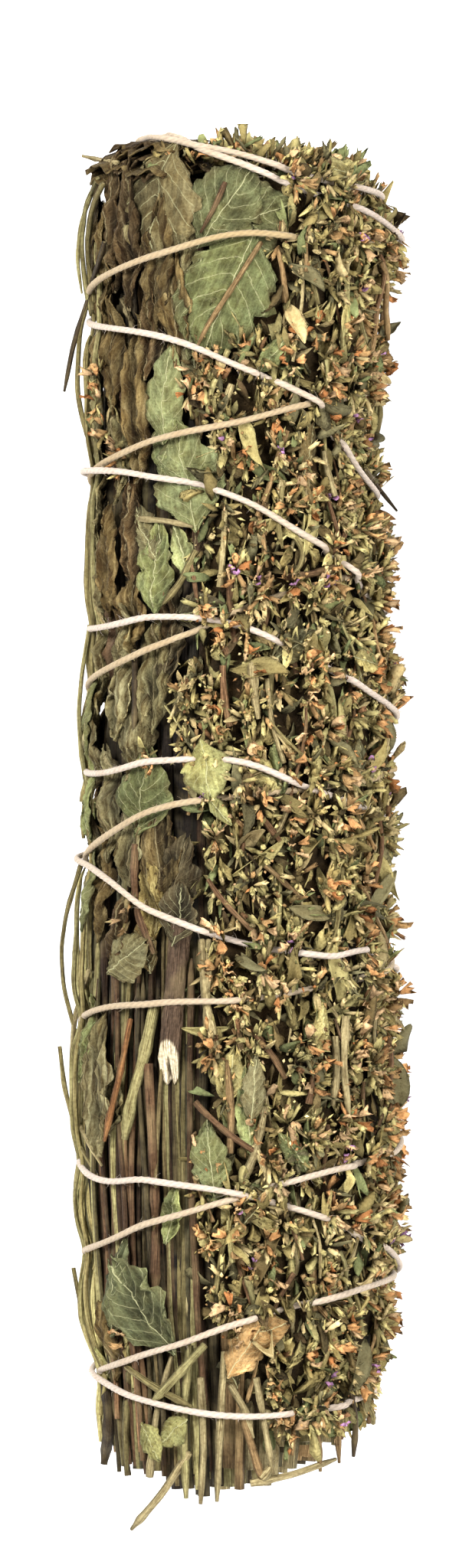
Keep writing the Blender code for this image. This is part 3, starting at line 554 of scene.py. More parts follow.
class Shader:
    """One material, its tree filled through add()."""

    def __init__(self, name, roughness, sheen=0.0, specular=0.3):
        self.material = bpy.data.materials.new(name)
        self.material.use_nodes = True
        self.tree = self.material.node_tree
        self.surface = self.tree.nodes["Principled BSDF"]
        self.surface.inputs["Roughness"].default_value = roughness
        self.surface.inputs["Specular IOR Level"].default_value = specular
        self.surface.inputs["Sheen Weight"].default_value = sheen

    def add(self, kind, settings, output, *values, **named):
        """Adds a node of a type: first its settings, then values or links for its sockets in
        order, or by name. Gives the chosen output socket."""
        node = self.tree.nodes.new(kind)
        for key, value in settings.items():
            setattr(node, key, value)
        for socket, value in [*zip(node.inputs, values, strict=False),
                              *((node.inputs[name], value) for name, value in named.items())]:
            self.feed(socket, value)
        return node.outputs[output]

    def feed(self, socket, value):
        """Links the output of another node to a socket, or sets a plain value there."""
        value = value.socket if isinstance(value, Value) else value
        if isinstance(value, bpy.types.NodeSocket):
            self.tree.links.new(value, socket)
        else:
            socket.default_value = value

    def set(self, socket, value):
        self.feed(self.surface.inputs[socket], value)

    def noise(self, scale, detail, coordinates=None):
        if coordinates is None:
            coordinates = self.add("ShaderNodeTexCoord", {}, "Object")
        found = self.add("ShaderNodeTexNoise", {}, "Fac", coordinates, Scale=scale, Detail=detail)
        return Value(self, found)

    def net(self, warp_stretch, stretch):
        """How far a point lies from the edges of irregular cells on the run map."""
        warp = self.add("ShaderNodeTexNoise", {}, "Color", self.run(*warp_stretch), Scale=1.0, Detail=2.0)
        bent = self.add("ShaderNodeVectorMath", {"operation": "MULTIPLY_ADD"}, 0, warp, (0.9, 0.9, 0),
                        self.run(*stretch))
        edge = {"feature": "DISTANCE_TO_EDGE"}
        return Value(self, self.add("ShaderNodeTexVoronoi", edge, "Distance", bent, Scale=1.0))

    def run(self, across, along):
        """The run map, stretched, as coordinates for a texture."""
        uv = self.add("ShaderNodeUVMap", {"uv_map": "run"}, 0)
        return self.add("ShaderNodeVectorMath", {"operation": "MULTIPLY"}, 0, uv, (across, along, 1))

    def run_parts(self):
        """The run map's two numbers."""
        uv = self.add("ShaderNodeUVMap", {"uv_map": "run"}, 0)
        return [Value(self, self.add("ShaderNodeSeparateXYZ", {}, k, uv)) for k in range(2)]

    def mix(self, share, first, second, blend="MIX"):
        """Colours only: first where share is 0, second where it is 1."""
        node = self.tree.nodes.new("ShaderNodeMix")
        node.data_type = "RGBA"
        node.blend_type = blend
        for name, value in (("Factor_Float", share), ("A_Color", first), ("B_Color", second)):
            self.feed(next(s for s in node.inputs if s.identifier == name), value)
        return next(s for s in node.outputs if s.identifier == "Result_Color")

    def layered(self, *layers):
        """The piece's tint with colours laid over it in turn: each has its share, cut to 0 to 1,
        its colour and how it is blended."""
        colour = self.add("ShaderNodeAttribute", {"attribute_name": "tint"}, "Color")
        for share, over, blend in layers:
            colour = self.mix(share.clamped(), colour, (*over, 1), blend)
        self.set("Base Color", colour)

    def bump(self, height, strength, distance):
        node = self.add("ShaderNodeBump", {}, 0, strength, distance, Height=height)
        self.set("Normal", node)


def herb_finish(name, cell, contrast, relief):
    """Dry leaf tissue: the piece's own tint under a net of fine pale veins about cell mm apart, brown where
    it is bruised, darkened in blotches that are partly mottling and partly painted shade of its pits, with a
    papery grain."""
    made = Shader(name, 0.85, specular=0.12)
    grain = made.noise(2600, 5)
    blotch = made.noise(620, 4)
    patches = made.noise(190, 3)
    ridge = made.net((0.9, 0.9), (1 / cell, 1 / cell))
    veins = (1 - (ridge * 7).clamped()) * (2.4 * blotch - 0.6).clamped()
    made.layered(
        (contrast * (1.5 * patches - 0.35), (0.80, 0.60, 0.42), "MULTIPLY"),
        # Dark blotches: partly mottling, partly painted shade of the pits.
        (contrast * (2.6 * blotch - 0.95), (0.36, 0.30, 0.22), "MULTIPLY"),
        (contrast * (2.6 * grain - 0.95), (0.50, 0.45, 0.36), "MULTIPLY"),
        (0.16 * contrast * veins, (0.34, 0.28, 0.13), "SCREEN"),
    )
    made.set("Roughness", 0.7 + 0.25 * blotch)
    made.bump(0.8 * grain + 0.8 * blotch + 0.1 * veins, relief, 0.0006)
    return made.material


def leaf_finish(name, vein, strength, side_share, creased, relief):
    """A dry leaf with its veins. The run map gives mm from the midrib, and which side vein,
    counted along it: a vein shows where the fraction of that count is near a half. A finer net
    lies between, and creases run along the leaf."""
    made = Shader(name, 0.85, specular=0.12)
    across, count = made.run_parts()
    grain = made.noise(2600, 5)
    blotch = made.noise(620, 4)
    patches = made.noise(190, 3)
    wander = made.noise(420, 3) - 0.5
    streak = made.noise(1.0, 5, made.run(1.7, 0.45))
    midrib = (1.8 - 15 * (across + 0.9 * wander).math("ABSOLUTE")).clamped()
    side = (1.7 - 30 * ((count + 0.5 * wander).math("FRACT") - 0.5).math("ABSOLUTE")).clamped()
    net = (1.3 - 22 * made.net((0.8, 1.8), (0.62, 1.5))).clamped()
    shown = (2.6 * blotch - 0.55).clamped()
    veins = (0.95 * midrib).math("MAXIMUM", side_share * side * shown).math("MAXIMUM", 0.1 * net * shown)
    made.layered(
        (1.7 * patches - 0.5, (0.80, 0.70, 0.52), "MULTIPLY"),
        (creased * (3.4 * streak - 1.25), (0.24, 0.19, 0.13), "MULTIPLY"),
        (0.9 * creased * (1.5 - 3.6 * streak), (0.10, 0.085, 0.05), "SCREEN"),
        (2.4 * blotch - 1.0, (0.55, 0.47, 0.36), "MULTIPLY"),
        (2.2 * grain - 0.9, (0.50, 0.45, 0.36), "MULTIPLY"),
        (strength * veins, vein, "MIX"),
    )
    made.set("Roughness", 0.7 + 0.25 * blotch)
    made.bump(0.7 * grain + 0.8 * blotch + 1.5 * creased * streak + 0.35 * veins, relief, 0.0006)
    return made.material


def stem_finish(name):
    """Dry stalk: fine ribs and streaks that run along it, specks, and worn paler stretches."""
    made = Shader(name, 0.75, specular=0.18)
    streak = made.noise(1.0, 4, made.run(6.5, 0.2))
    specks = made.noise(1900, 4)
    worn = made.noise(210, 3)
    made.layered(
        (3.4 * streak - 1.25, (0.24, 0.20, 0.15), "MULTIPLY"),
        (2.4 * specks - 1.0, (0.42, 0.36, 0.28), "MULTIPLY"),
        (2.4 * worn - 1.15, (0.13, 0.10, 0.045), "SCREEN"),
        (0.9 - 2.4 * worn, (0.45, 0.38, 0.30), "MULTIPLY"),
    )
    made.set("Roughness", 0.6 + 0.3 * streak)
    made.bump(streak + 0.5 * specks, 0.9, 0.0004)
    return made.material


def cotton_finish(name):
    """Soft cotton: fibres run along the strand, with hazy darker patches of dust."""
    made = Shader(name, 0.95, sheen=0.1, specular=0.1)
    fibres = made.noise(1.0, 5, made.run(11.0, 0.8))
    dust = made.noise(420, 3)
    made.layered(
        (1.5 * fibres - 0.45, (0.80, 0.73, 0.64), "MULTIPLY"),
        (1.8 * dust - 0.85, (0.86, 0.78, 0.66), "MULTIPLY"),
    )
    made.bump(fibres, 0.6, 0.00015)
    return made.material


# Repeated small forms. Along is local x from 0 to 1, across is y, up is z.


def curl_form(rows, columns, width, fold, bend, twist, thickness, peak=0.45):
    """A small dry leaf on a curled midrib: the rib is an arc of bend radians, half width w =
    width/2 * (sin(pi u**k))**0.8, where k puts the widest place at peak, and both halves stand up
    from the rib by fold * |v| * w, turned about it by twist * u."""
    u, v = grid_of(rows, columns)
    k = math.log(0.5) / math.log(peak)
    half = width / 2 * np.maximum(np.sin(math.pi * np.clip(u, 0.004, 0.996) ** k), 0.07) ** 0.8
    bend = bend if abs(bend) > 0.05 else 0.05
    rib_x, rib_z = np.sin(bend * u) / bend, (1 - np.cos(bend * u)) / bend
    angle = twist * (u - 0.3)
    across, height = v * half, fold * np.abs(v) ** 1.3 * half
    side = across * np.cos(angle) - height * np.sin(angle)
    lift = height * np.cos(angle) + across * np.sin(angle)

    def sheet(offset):
        raised = lift + offset
        return np.stack([rib_x - raised * np.sin(bend * u), side, rib_z + raised * np.cos(bend * u)], -1)

    return closed_sheet(sheet(thickness / 2), sheet(-thickness / 2))


def petal_form(draw, rows=4, columns=6):
    """A shrivelled floret: a fan, half width 0.1 + 0.35 u, whose edge is frilled by
    0.2 u sin(9 v) and rolled back."""
    u, v = grid_of(rows, columns)
    half = 0.1 + 0.35 * u
    phase = draw.uniform(0, 6.28)
    rolled = draw.uniform(-0.3, 0.6) * u**2
    cupped = draw.uniform(0, 0.5) * v**2 * half
    height = 0.2 * u * np.sin(9 * v + phase) + rolled + cupped
    ragged = u * (1 + 0.16 * np.sin(13 * v + phase))
    upper = np.stack([ragged + 0 * v, v * half, height + 0.05], -1)
    return closed_sheet(upper, upper - [0, 0, 0.1])


def crumb_form():
    """A chip: two four sided pyramids on a common, uneven girdle."""
    points = np.array([[0, 0, 0], [0.4, 0.28, 0.05], [0.35, 0.02, 0.2], [0.45, -0.26, 0],
                       [0.5, 0.03, -0.2], [1, 0, 0.05]])
    girdle = [(1, 2), (2, 3), (3, 4), (4, 1)]
    return points, np.array([[0, b, a] for a, b in girdle] + [[5, a, b] for a, b in girdle])


def calyx_form(sides=6):
    """A ribbed tube that opens in a ring of teeth: radius by u from a small foot to a swollen
    middle, every other side longer at the mouth."""
    u = np.array([0.0, 0.35, 0.75, 1.0])[:, None]
    radius = np.array([0.07, 0.19, 0.17, 0.21])[:, None]
    angle = np.arange(sides)[None, :] * 2 * math.pi / sides
    teeth = np.where(np.arange(sides) % 2, 0.16, -0.1)[None, :] * (u > 0.9)
    radius = radius * (1 + 0.12 * np.cos(angle * sides / 2)) + 0 * angle
    points = np.stack([u + teeth, radius * np.cos(angle), radius * np.sin(angle)], -1).reshape(-1, 3)
    points = np.vstack([points, [-0.04, 0, 0], [0.72, 0, 0]])
    return points, tube_faces(4, sides)


def axes_at(theta, bearing, lift, roll):
    """Local axes on the bundle as columns: along points from +Y by bearing towards +theta and
    up by lift, and the rest is rolled round it. All in degrees."""
    theta, bearing, lift, roll = (np.radians(a) for a in (theta, bearing, lift, roll))
    out = np.stack([np.sin(theta), 0 * theta, np.cos(theta)], -1)
    round_it = np.stack([np.cos(theta), 0 * theta, -np.sin(theta)], -1)
    ahead = np.broadcast_to([0.0, 1.0, 0.0], out.shape)
    flat = ahead * np.cos(bearing)[:, None] + round_it * np.sin(bearing)[:, None]
    along = flat * np.cos(lift)[:, None] + out * np.sin(lift)[:, None]
    up = out * np.cos(lift)[:, None] - flat * np.sin(lift)[:, None]
    across = np.cross(up, along)
    c, s = np.cos(roll)[:, None], np.sin(roll)[:, None]
    return np.stack([along, across * c + up * s, up * c - across * s], -1)


def repeated(faces, copies, size):
    """The faces of copies of a form that has size points."""
    return (faces[None] + (np.arange(copies) * size)[:, None, None]).reshape(-1, 3)


def many(form, at, axes, size, tints, shade=0.45):
    """form repeated at each place: place + axes * (size * form). Each tint is darkest at the foot, by shade:
    painted shade where the forms crowd together."""
    points, faces = form
    turned = np.einsum("nij,nkj->nki", axes, size[:, None, :] * points[None])
    placed_at = at[:, None, :] + turned
    all_faces = repeated(faces, len(at), len(points))
    # Painted shade: each form darkens towards its foot.
    lit = 1 - shade + shade * np.clip(points[:, 0], 0, 1)
    colours = tints[:, None, :] * lit[None, :, None]
    shift = (np.arange(len(at)) * 7.31) % 97
    runs = paired(points[None, :, 1] * size[:, 1:2] + shift[:, None], points[None, :, 0] * size[:, :1])
    return placed_at, all_faces, colours, runs


def sown(forms, draw, at, axes, size, tints, shade=0.45):
    """Each place takes one of forms at random."""
    pick = draw.integers(0, len(forms), len(at))
    return [many(form, at[pick == k], axes[pick == k], size[pick == k], tints[pick == k], shade)
            for k, form in enumerate(forms) if (pick == k).any()]


def tinted(draw, count, tones, spread=0.2):
    """Random tones from pairs of a name and a weight, each a little lighter or darker."""
    names, weights = zip(*tones, strict=True)
    pick = draw.choice(len(names), count, p=np.array(weights) / sum(weights))
    colours = np.array([TONES[name] for name in names])[pick]
    return colours * (1 + spread * draw.standard_normal((count, 1))).clip(0.45, 1.7)


def weighted(names, *weights):
    return tuple(zip(names.split(), weights, strict=True))


GREENS = "straw_green olive grey_olive green straw olive_brown"
ORANGES = "floret floret_deep floret_pale tan"
CALYX_TONES = "straw_green olive straw tan rust olive_brown"
BED_MIX = weighted("straw_green olive grey_olive green umber olive_brown", 6, 6, 4, 2, 1, 4)
BRACT_MIX = weighted(GREENS, 7, 5, 3, 2, 5, 2)
BIG_LEAF_MIX = weighted(GREENS, 6, 5, 6, 3, 3, 2)
CALYX_MIX = weighted(CALYX_TONES, 6, 4, 5, 3, 1, 2)
FLORET_MIX = weighted(ORANGES, 5, 2, 4, 4)
FRESH_FLORET_MIX = weighted("petal floret_pale", 3, 1)
CRUMB_MIX = CALYX_MIX + weighted(ORANGES, 1, 1, 2, 1)
TIP_MIX = weighted(GREENS + " " + ORANGES, 5, 5, 3, 3, 3, 5, 2, 1, 2, 2)

# Layers of the flower heads: the share of heads that have it, its rho, how many pieces a head, their length,
# width and lift, the form, the tones, how far out their feet stand at most, and how much painted shade
# darkens them at their feet.
BED_LAYERS = ((1, 21.0, 3, (3.0, 6.2), (1.0, 2.3), (-10, 40), "leaf", BED_MIX, 2.2, 0.6),)
BRACT_LAYERS = ((1, 21.5, 8, (2.0, 4.4), (0.55, 1.25), (0, 70), "bract", BRACT_MIX, 1.6, 0.55),)
FLOWER_LAYERS = (
    (0.8, 22.3, 5, (1.5, 2.9), (1.5, 2.3), (5, 85), "calyx", CALYX_MIX, 1.7, 0.5),
    (0.5, 23.0, 4, (1.3, 2.7), (1.3, 2.7), (10, 80), "petal", FLORET_MIX, 1.3, 0.4),
    (0.07, 23.4, 3, (0.9, 1.7), (1.0, 1.6), (35, 85), "petal", FRESH_FLORET_MIX, 0.9, 0.2),
    (1, 22.9, 8, (0.5, 1.5), (0.5, 1.4), (-30, 90), "crumb", CRUMB_MIX, 3.2, 0.2),
)
STREWN_LAYERS = (
    (1, 23.0, 6, (1.8, 3.6), (0.5, 1.1), (0, 60), "bract", BRACT_MIX, 1.5, 0.5),
    (1, 23.4, 5, (1.2, 2.4), (1.2, 2.2), (5, 70), "petal", FLORET_MIX, 1.6, 0.5),
)


# Stems


def stems_of(paths, radii, tints, draw, rings=30, sides=8, square=0.1, taper=0.0, paled=0.0):
    """Stems as parts: a ring of sides carried along each path, radius r * (1 + square *
    cos(4 angle)) with a swollen node now and then, and pale cut ends. The last 3 mm narrow by
    taper, and the first 25 mm are lighter by paled."""
    parts = []
    for path, radius, colour in zip(paths, radii, tints, strict=True):
        path = np.asarray(path, float)
        way = lengths_along(path)
        s = np.linspace(0, way[-1], rings)
        line, along = resampled(path, way, s)
        side = unit(np.cross(along, [0.1, 0.03, 1.0]))
        up = np.cross(side, along)
        angle = np.arange(sides)[None, :] * 2 * math.pi / sides + draw.uniform(0, 1)
        nodes = np.exp(-(((s[:, None] - draw.uniform(0, way[-1], 2)[None, :]) / 1.1) ** 2)).sum(1)
        width = radius * (1 + 0.22 * nodes + 0.08 * np.sin(s / 7 + draw.uniform(0, 6)))
        width = width * (1 - taper * smooth(s, way[-1] - 3.0, way[-1]))
        ring = rings_round(line, side, up, angle, width[:, None] * (1 + square * np.cos(4 * angle)))
        ends = [line[0] - along[0] * 0.05, line[-1] + along[-1] * 0.05]
        points = rested(np.vstack([ring.reshape(-1, 3), ends]))
        lighter = (1 + 0.15 * np.sin(s / 9 + draw.uniform(0, 6))) * (1 + paled * (1 - smooth(s, 4, 25)))
        colours = np.repeat(colour[None] * lighter[:, None], sides, 0)
        colours = np.vstack([colours, [tone("straw")] * 2])
        runs = paired(angle * radius, s[:, None] + draw.uniform(0, 50))
        runs = np.vstack([runs.reshape(-1, 2), [[0, 0]] * 2])
        parts.append((points, tube_faces(rings, sides)[:, ::-1], colours, runs))
    return parts


def along_bundle(theta, rho, start, end, draw, sway=1.2, drift=0.0, points=24, drawn_in=True):
    """A path that runs along the bundle, its theta and rho wandering on slow sines."""
    y = np.linspace(start, end, points)
    phase = draw.uniform(0, 6.28, 3)
    angle = theta + drift * (y - start) / max(abs(end - start), 1) + sway * np.sin(y / 24 + phase[0])
    height = rho + 0.25 * np.sin(y / 11 + phase[1]) + 0.15 * np.sin(y / 5 + phase[2])
    return on_bundle(height, angle, y, drawn_in)


def cut_level(theta, rho):
    """Where a stem is cut: on an arc across the bundle's lower end."""
    across = rho * np.sin(np.radians(theta))
    return CUT_Y + CUT_ARC * ((across - CUT_LOWEST_X) / SEAT) ** 2


def seen_from_above(points, height):
    """A path given by x from the axis and y, laid on the bundle's upper side at a height over
    the seat: theta = asin(x / real radius)."""
    points = np.asarray(points, float)
    count = max(8, int(np.linalg.norm(np.diff(points, axis=0), axis=1).sum() / 0.8))
    fine = np.linspace(0, len(points) - 1, count)
    x, y = (np.interp(fine, np.arange(len(points)), points[:, k]) for k in range(2))
    kernel = np.array([0.25, 0.5, 0.25])
    for _ in range(max(2, count // 6)):
        x[1:-1] = np.convolve(x, kernel, "valid")
        y[1:-1] = np.convolve(y, kernel, "valid")
    rho = SEAT - 1.9 + height
    theta = np.zeros(count)
    for _ in range(4):
        radius = squeezed(rho, theta, y)
        theta = np.degrees(np.arcsin(np.clip(x / radius, -0.999, 0.999)))
    over = np.maximum(np.abs(x) - squeezed(rho, theta, y) * 0.999, 0)
    return placed(squeezed(rho, theta, y) + over, theta, y)


# Stems seen from above: points as x from the axis and y, height over the seat, radius, tone.
NAMED_STEMS = (
    (((-2.1, 98.2), (-3.8, 94.3), (-5.9, 90.5)), 0.8, 0.36, "rust"),
    (((3.3, 89.0), (-0.2, 83.4), (-4.7, 76.6), (-6.6, 72.8)), 1.0, 0.36, "tan"),
    (((-15.2, 47.0), (-10.9, 46.6), (-7.1, 45.7)), 1.4, 0.42, "straw"),
    (((-6.6, 42.1), (-8.7, 37.6), (-11.6, 33.9)), 0.9, 0.42, "olive"),
    (((-16.0, 27.0), (-15.8, 21.1), (-16.0, 14.6)), 1.1, 0.5, "umber"),
    (((1.5, 8.1), (1.2, 5.8), (1.8, 3.2)), 1.5, 0.6, "tan"),
    (((-15.8, -2.7), (-16.0, -7.8), (-15.5, -13.1), (-13.0, -19.4)), 1.1, 0.55, "rust"),
    (((-12.9, -27.5), (-14.6, -35.5), (-16.3, -41.4), (-17.5, -47.8)), 0.8, 0.85, "straw_green"),
    (((-13.9, -36.2), (-13.3, -47.3), (-12.7, -60.3), (-12.9, -71.4)), 0.3, 0.75, "rust"),
    (((-16.6, -29.4), (-18.2, -37.9), (-19.4, -42.6), (-20.6, -48.1)), 2.3, 0.42, "copper"),
    (((-5.7, -17.3), (-5.2, -26.1), (-4.2, -30.8), (-3.3, -35.3)), 1.1, 0.6, "straw"),
    (((-4.7, -17.3), (-4.8, -24.9), (-5.2, -31.4)), 0.9, 0.5, "straw"),
    (((16.3, -29.0), (15.9, -36.7), (16.8, -44.4)), 1.4, 0.6, "straw"),
    (((14.6, -32.0), (14.9, -37.9), (14.2, -42.6)), 1.2, 0.5, "straw"),
    (((-1.4, -49.7), (-1.1, -43.8), (-1.9, -35.5)), 1.0, 0.5, "tan"),
    (((3.9, -42.6), (2.4, -49.7), (0.4, -54.4)), 1.1, 0.55, "straw"),
    (((-5.2, -78.9), (-9.1, -83.3), (-13.3, -88.0)), 2.2, 0.6, "straw_green"),
    (((-17.2, -82.8), (-12.6, -85.8), (-7.1, -88.6)), 1.9, 0.5, "olive"),
    (((-7.6, -95.5), (-11.8, -102.0), (-16.5, -107.7)), 0.9, 0.5, "straw"),
    (((0.5, -90.2), (2.1, -95.1), (3.4, -99.5)), 1.2, 0.6, "tan"),
    (((3.4, -99.5), (4.5, -98.3), (5.5, -96.6)), 1.2, 0.55, "straw"),
    (((1.7, -100.2), (8.0, -99.0), (14.8, -96.8)), 0.9, 0.5, "straw"),
    (((19.3, 54.7), (22.2, 51.1), (24.3, 48.5)), 2.2, 0.36, "umber"),
    (((8.6, 44.1), (9.9, 42.4), (9.4, 39.4), (7.6, 38.1)), 1.8, 0.4, "olive"),
    (((7.1, 38.0), (11.6, 38.6), (16.3, 40.2)), 1.7, 0.55, "rust"),
    (((1.8, 25.1), (2.2, 20.5), (2.9, 16.4)), 1.3, 0.65, "straw"),
    (((6.6, 51.8), (5.9, 45.9), (6.6, 42.4)), 1.5, 0.4, "olive"),
    (((-20.6, 89.5), (-23.2, 81.1), (-25.5, 74.2), (-26.9, 66.9)), 1.6, 0.36, "umber"),
    (((-21.4, 86.5), (-23.1, 81.5), (-24.5, 76.6), (-25.0, 67.0), (-23.5, 60.0)), 1.3, 0.36, "olive"),
    (((-24.2, -5.5), (-26.6, -13.3), (-27.4, -19.0), (-27.0, -25.1), (-24.8, -33.0)), 1.6, 0.34, "olive"),
    (((-27.6, -33.9), (-26.9, -40.2), (-24.7, -48.7), (-21.0, -55.0)), 1.5, 0.32, "olive"),
    (((-23.0, -22.0), (-25.4, -29.6), (-25.9, -37.9), (-24.6, -46.1), (-21.0, -52.0)), 1.2, 0.34, "straw"),
    (((-23.0, 31.0), (-24.2, 23.5), (-24.7, 17.6), (-24.3, 11.1), (-23.0, 4.0)), 1.0, 0.36, "straw_green"),
    (((-25.5, -68.0), (-24.5, -73.3), (-22.7, -79.2), (-20.5, -85.0)), 1.3, 0.3, "olive"),
    (((-20.3, -86.0), (-19.9, -92.2), (-20.8, -98.3)), 1.2, 0.8, "umber"),
    (((-5.9, -84.0), (-5.4, -94.9), (-5.9, -103.4)), 1.1, 0.55, "straw"),
    (((-13.7, -99.5), (-12.6, -89.8), (-10.3, -80.9)), 0.9, 0.55, "straw"),
    (((-1.4, -85.1), (0.7, -88.6), (2.1, -93.3)), 1.0, 0.5, "straw"),
    (((-7.6, -79.1), (-8.5, -91.0), (-8.1, -102.6)), 0.9, 0.55, "straw_green"),
    (((-2.2, -80.0), (-2.9, -91.0), (-3.4, -103.0)), 1.0, 0.5, "straw"),
    (((-18.5, 101.6), (-21.6, 102.6), (-24.2, 103.2)), 0.6, 0.34, "straw"),
    (((2.6, -84.0), (4.0, -92.0), (5.2, -98.8)), 1.6, 0.48, "straw"),
    (((-16.6, -82.0), (-17.4, -92.0), (-17.2, -99.0)), 0.9, 0.5, "olive"),
    (((-21.6, 99.6), (-23.6, 96.0), (-24.3, 90.0), (-23.8, 84.0), (-22.8, 78.5)), 1.2, 0.36, "straw_green"),
    (((-20.8, 98.6), (-22.7, 95.0), (-23.4, 89.0), (-22.9, 83.0), (-22.3, 77.0)), 1.4, 0.4, "olive"),
    (((-22.6, 97.6), (-24.5, 92.5), (-24.9, 87.0), (-24.2, 82.0)), 1.0, 0.3, "straw_green"),
    (((11.4, -87.0), (12.0, -93.0), (12.4, -98.6)), 0.9, 0.42, "tan"),
    (((14.6, -87.0), (15.0, -92.0), (15.3, -97.4)), 0.9, 0.45, "tan"),
    (((17.0, -86.0), (17.9, -91.0), (17.5, -96.6)), 0.9, 0.4, "umber"),
)

